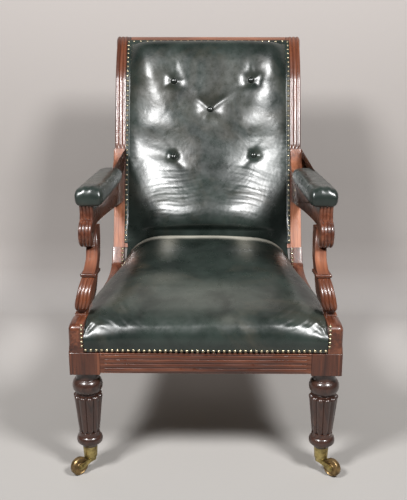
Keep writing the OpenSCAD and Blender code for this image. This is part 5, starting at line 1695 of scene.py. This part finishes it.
@dataclass
class Brasswork:
    """Nails and castors, whose shapes come from the frame."""

    NAIL_ROWS = ("front", "side_left", "side_right", "back_left", "back_right", "crest", "outside_back")
    PARTS = {"cup": Finish.BRASS, "horn": Finish.BRASS, "wheel": Finish.TYRE, "axle": Finish.BRASS}
    sharp: float = 32.0

    def nail_node(self, row: str) -> str:
        """The frame's name for a row of nails."""
        first, _, last = row.partition("_")
        return f"{first}_nails_{last}" if last in ("left", "right") else f"{row}_nails"

    def build(self) -> None:
        """Dresses every nail and castor node in brass."""
        nodes = {self.nail_node(row): Finish.NAIL for row in self.NAIL_ROWS}
        corners = [f"{end}_{side.word}" for end in ("front", "back") for side in Side]
        for part, finish in self.PARTS.items():
            nodes |= {f"castor_{part}_{corner}": finish for corner in corners}
        for name, finish in nodes.items():
            plain(name, finish)
            smooth(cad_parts[name].data, self.sharp)


@dataclass
class Studio:
    """Pale floor and wall, two soft boxes in front and the camera of the photo."""

    focal: float = 900 / 407 * 36
    camera_at: tuple[float, float, float] = (0.018, -1.992, 1.253)
    pitch: float = 18.0
    turn: float = 0.66
    box_power: float = 115.0
    box_size: float = 0.6
    box_turn: float = 34.0
    box_rise: float = 40.0
    box_far: float = 3.0
    ambient: float = 0.05
    wall_y: float = 1300.0
    bend: float = 220.0
    floor_z: float = -0.4
    box_aim: float = 0.55
    reach: float = 6000.0
    wall_h: float = 4000.0

    def paint(self) -> bpy.types.Material:
        """A matt paint with painted shade: greyer low on the wall and darker on the floor towards the camera.
        It is clear from behind.
        """
        g = Graph("backdrop_paint")
        parts = g.add("SeparateXYZ", {0: g.place()}).outputs
        # Painted shade: the wall is greyer about half a metre up than at its foot and top
        pale, grey = (0.4, 0.37, 0.355), (0.34, 0.315, 0.3)
        wall = g.ramp(g.between(parts["Z"], 0.0, 1.5), (0.0, pale), (0.3, grey), (1.0, pale))
        # Painted shade: the floor darkens towards the camera and pales towards the wall
        near, mid, far = (0.26, 0.25, 0.24), (0.34, 0.325, 0.31), (0.5, 0.475, 0.46)
        ground = g.ramp(g.between(parts["Y"], -0.9, 0.9), (0.0, near), (0.4, mid), (1.0, far))
        colour = g.mixed(g.between(parts["Z"], 0.0, 0.12), ground, wall)
        rear = g.add("NewGeometry").outputs["Backfacing"]
        clear = g.add("BsdfTransparent").outputs[0]
        both = g.add("MixShader", {0: rear, 1: g.shader.outputs[0], 2: clear}).outputs[0]
        g.put(g.out, {"Surface": both})
        return g.done(Base_Color=colour, Roughness=0.9, Specular_IOR_Level=0.1)

    def backdrop(self) -> None:
        """Floor and wall in one sheet, with a round where they meet."""
        wall, bend, low, far = self.wall_y, self.bend, self.floor_z, self.reach
        line = chain(
            np.linspace([-far, low], [wall - bend, low], 8),
            arc((wall - bend, bend + low), bend, -90, 0, 24),
            np.linspace([wall, bend], [wall, self.wall_h], 8),
        )
        x = np.linspace(-far, far, 5)
        grid = np.stack(np.broadcast_arrays(x, line[:, 0:1], line[:, 1:2]), -1)
        mesh = bpy.data.meshes.new("backdrop")
        mesh.from_pydata(to_frame(grid.reshape(-1, 3)).tolist(), [], quads(len(line), len(x)).tolist())
        smooth(mesh)
        mesh.materials.append(self.paint())
        linked("backdrop", mesh)

    def soft_box(self, side: Side) -> None:
        """One soft box that faces the chair's middle."""
        light = bpy.data.lights.new(f"soft_box_{side.word}", "AREA")
        light.energy, light.size = self.box_power, self.box_size
        obj = linked(light.name, light)
        a, e = math.radians(self.box_turn * side.value), math.radians(self.box_rise)
        way = np.array([math.sin(a) * math.cos(e), -math.cos(a) * math.cos(e), math.sin(e)])
        obj.location = way * self.box_far + np.array([0.0, 0.0, self.box_aim])
        obj.rotation_euler = (math.radians(90) - e, 0.0, a)

    def camera(self) -> None:
        """The camera at the photo's place and angle."""
        data = bpy.data.cameras.new("camera")
        data.sensor_fit, data.sensor_width, data.lens = "HORIZONTAL", 36.0, self.focal
        obj = linked("camera", data)
        x, y, z = self.camera_at
        obj.location = (x, y - SIZE.mid_y * MM, z)
        obj.rotation_euler = (math.radians(90 - self.pitch), 0.0, math.radians(self.turn))
        bpy.context.scene.camera = obj

    def build(self) -> None:
        """Sets up the stage, the lights, the world and the view."""
        self.backdrop()
        for side in Side:
            self.soft_box(side)
        world = bpy.data.worlds.new("studio")
        world.use_nodes = True
        sky = world.node_tree.nodes["Background"].inputs
        sky[0].default_value = (1.0, 0.98, 0.96, 1.0)
        sky[1].default_value = self.ambient
        bpy.context.scene.world = world
        bpy.context.scene.view_settings.view_transform = "Standard"
        self.camera()


def main() -> None:
    """Builds the chair's sub-assemblies in order, then the studio."""
    logging.basicConfig(level=logging.INFO, format="%(message)s")
    chair = (SeatFrame(), FrontLegs(), BackLegs(), Back(), Arms(), Seat(), InsideBack(), Brasswork())
    for part in (*chair, Studio()):
        LOG.info("Building %s", type(part).__name__)
        part.build()
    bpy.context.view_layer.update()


if __name__ == "__main__":
    main()
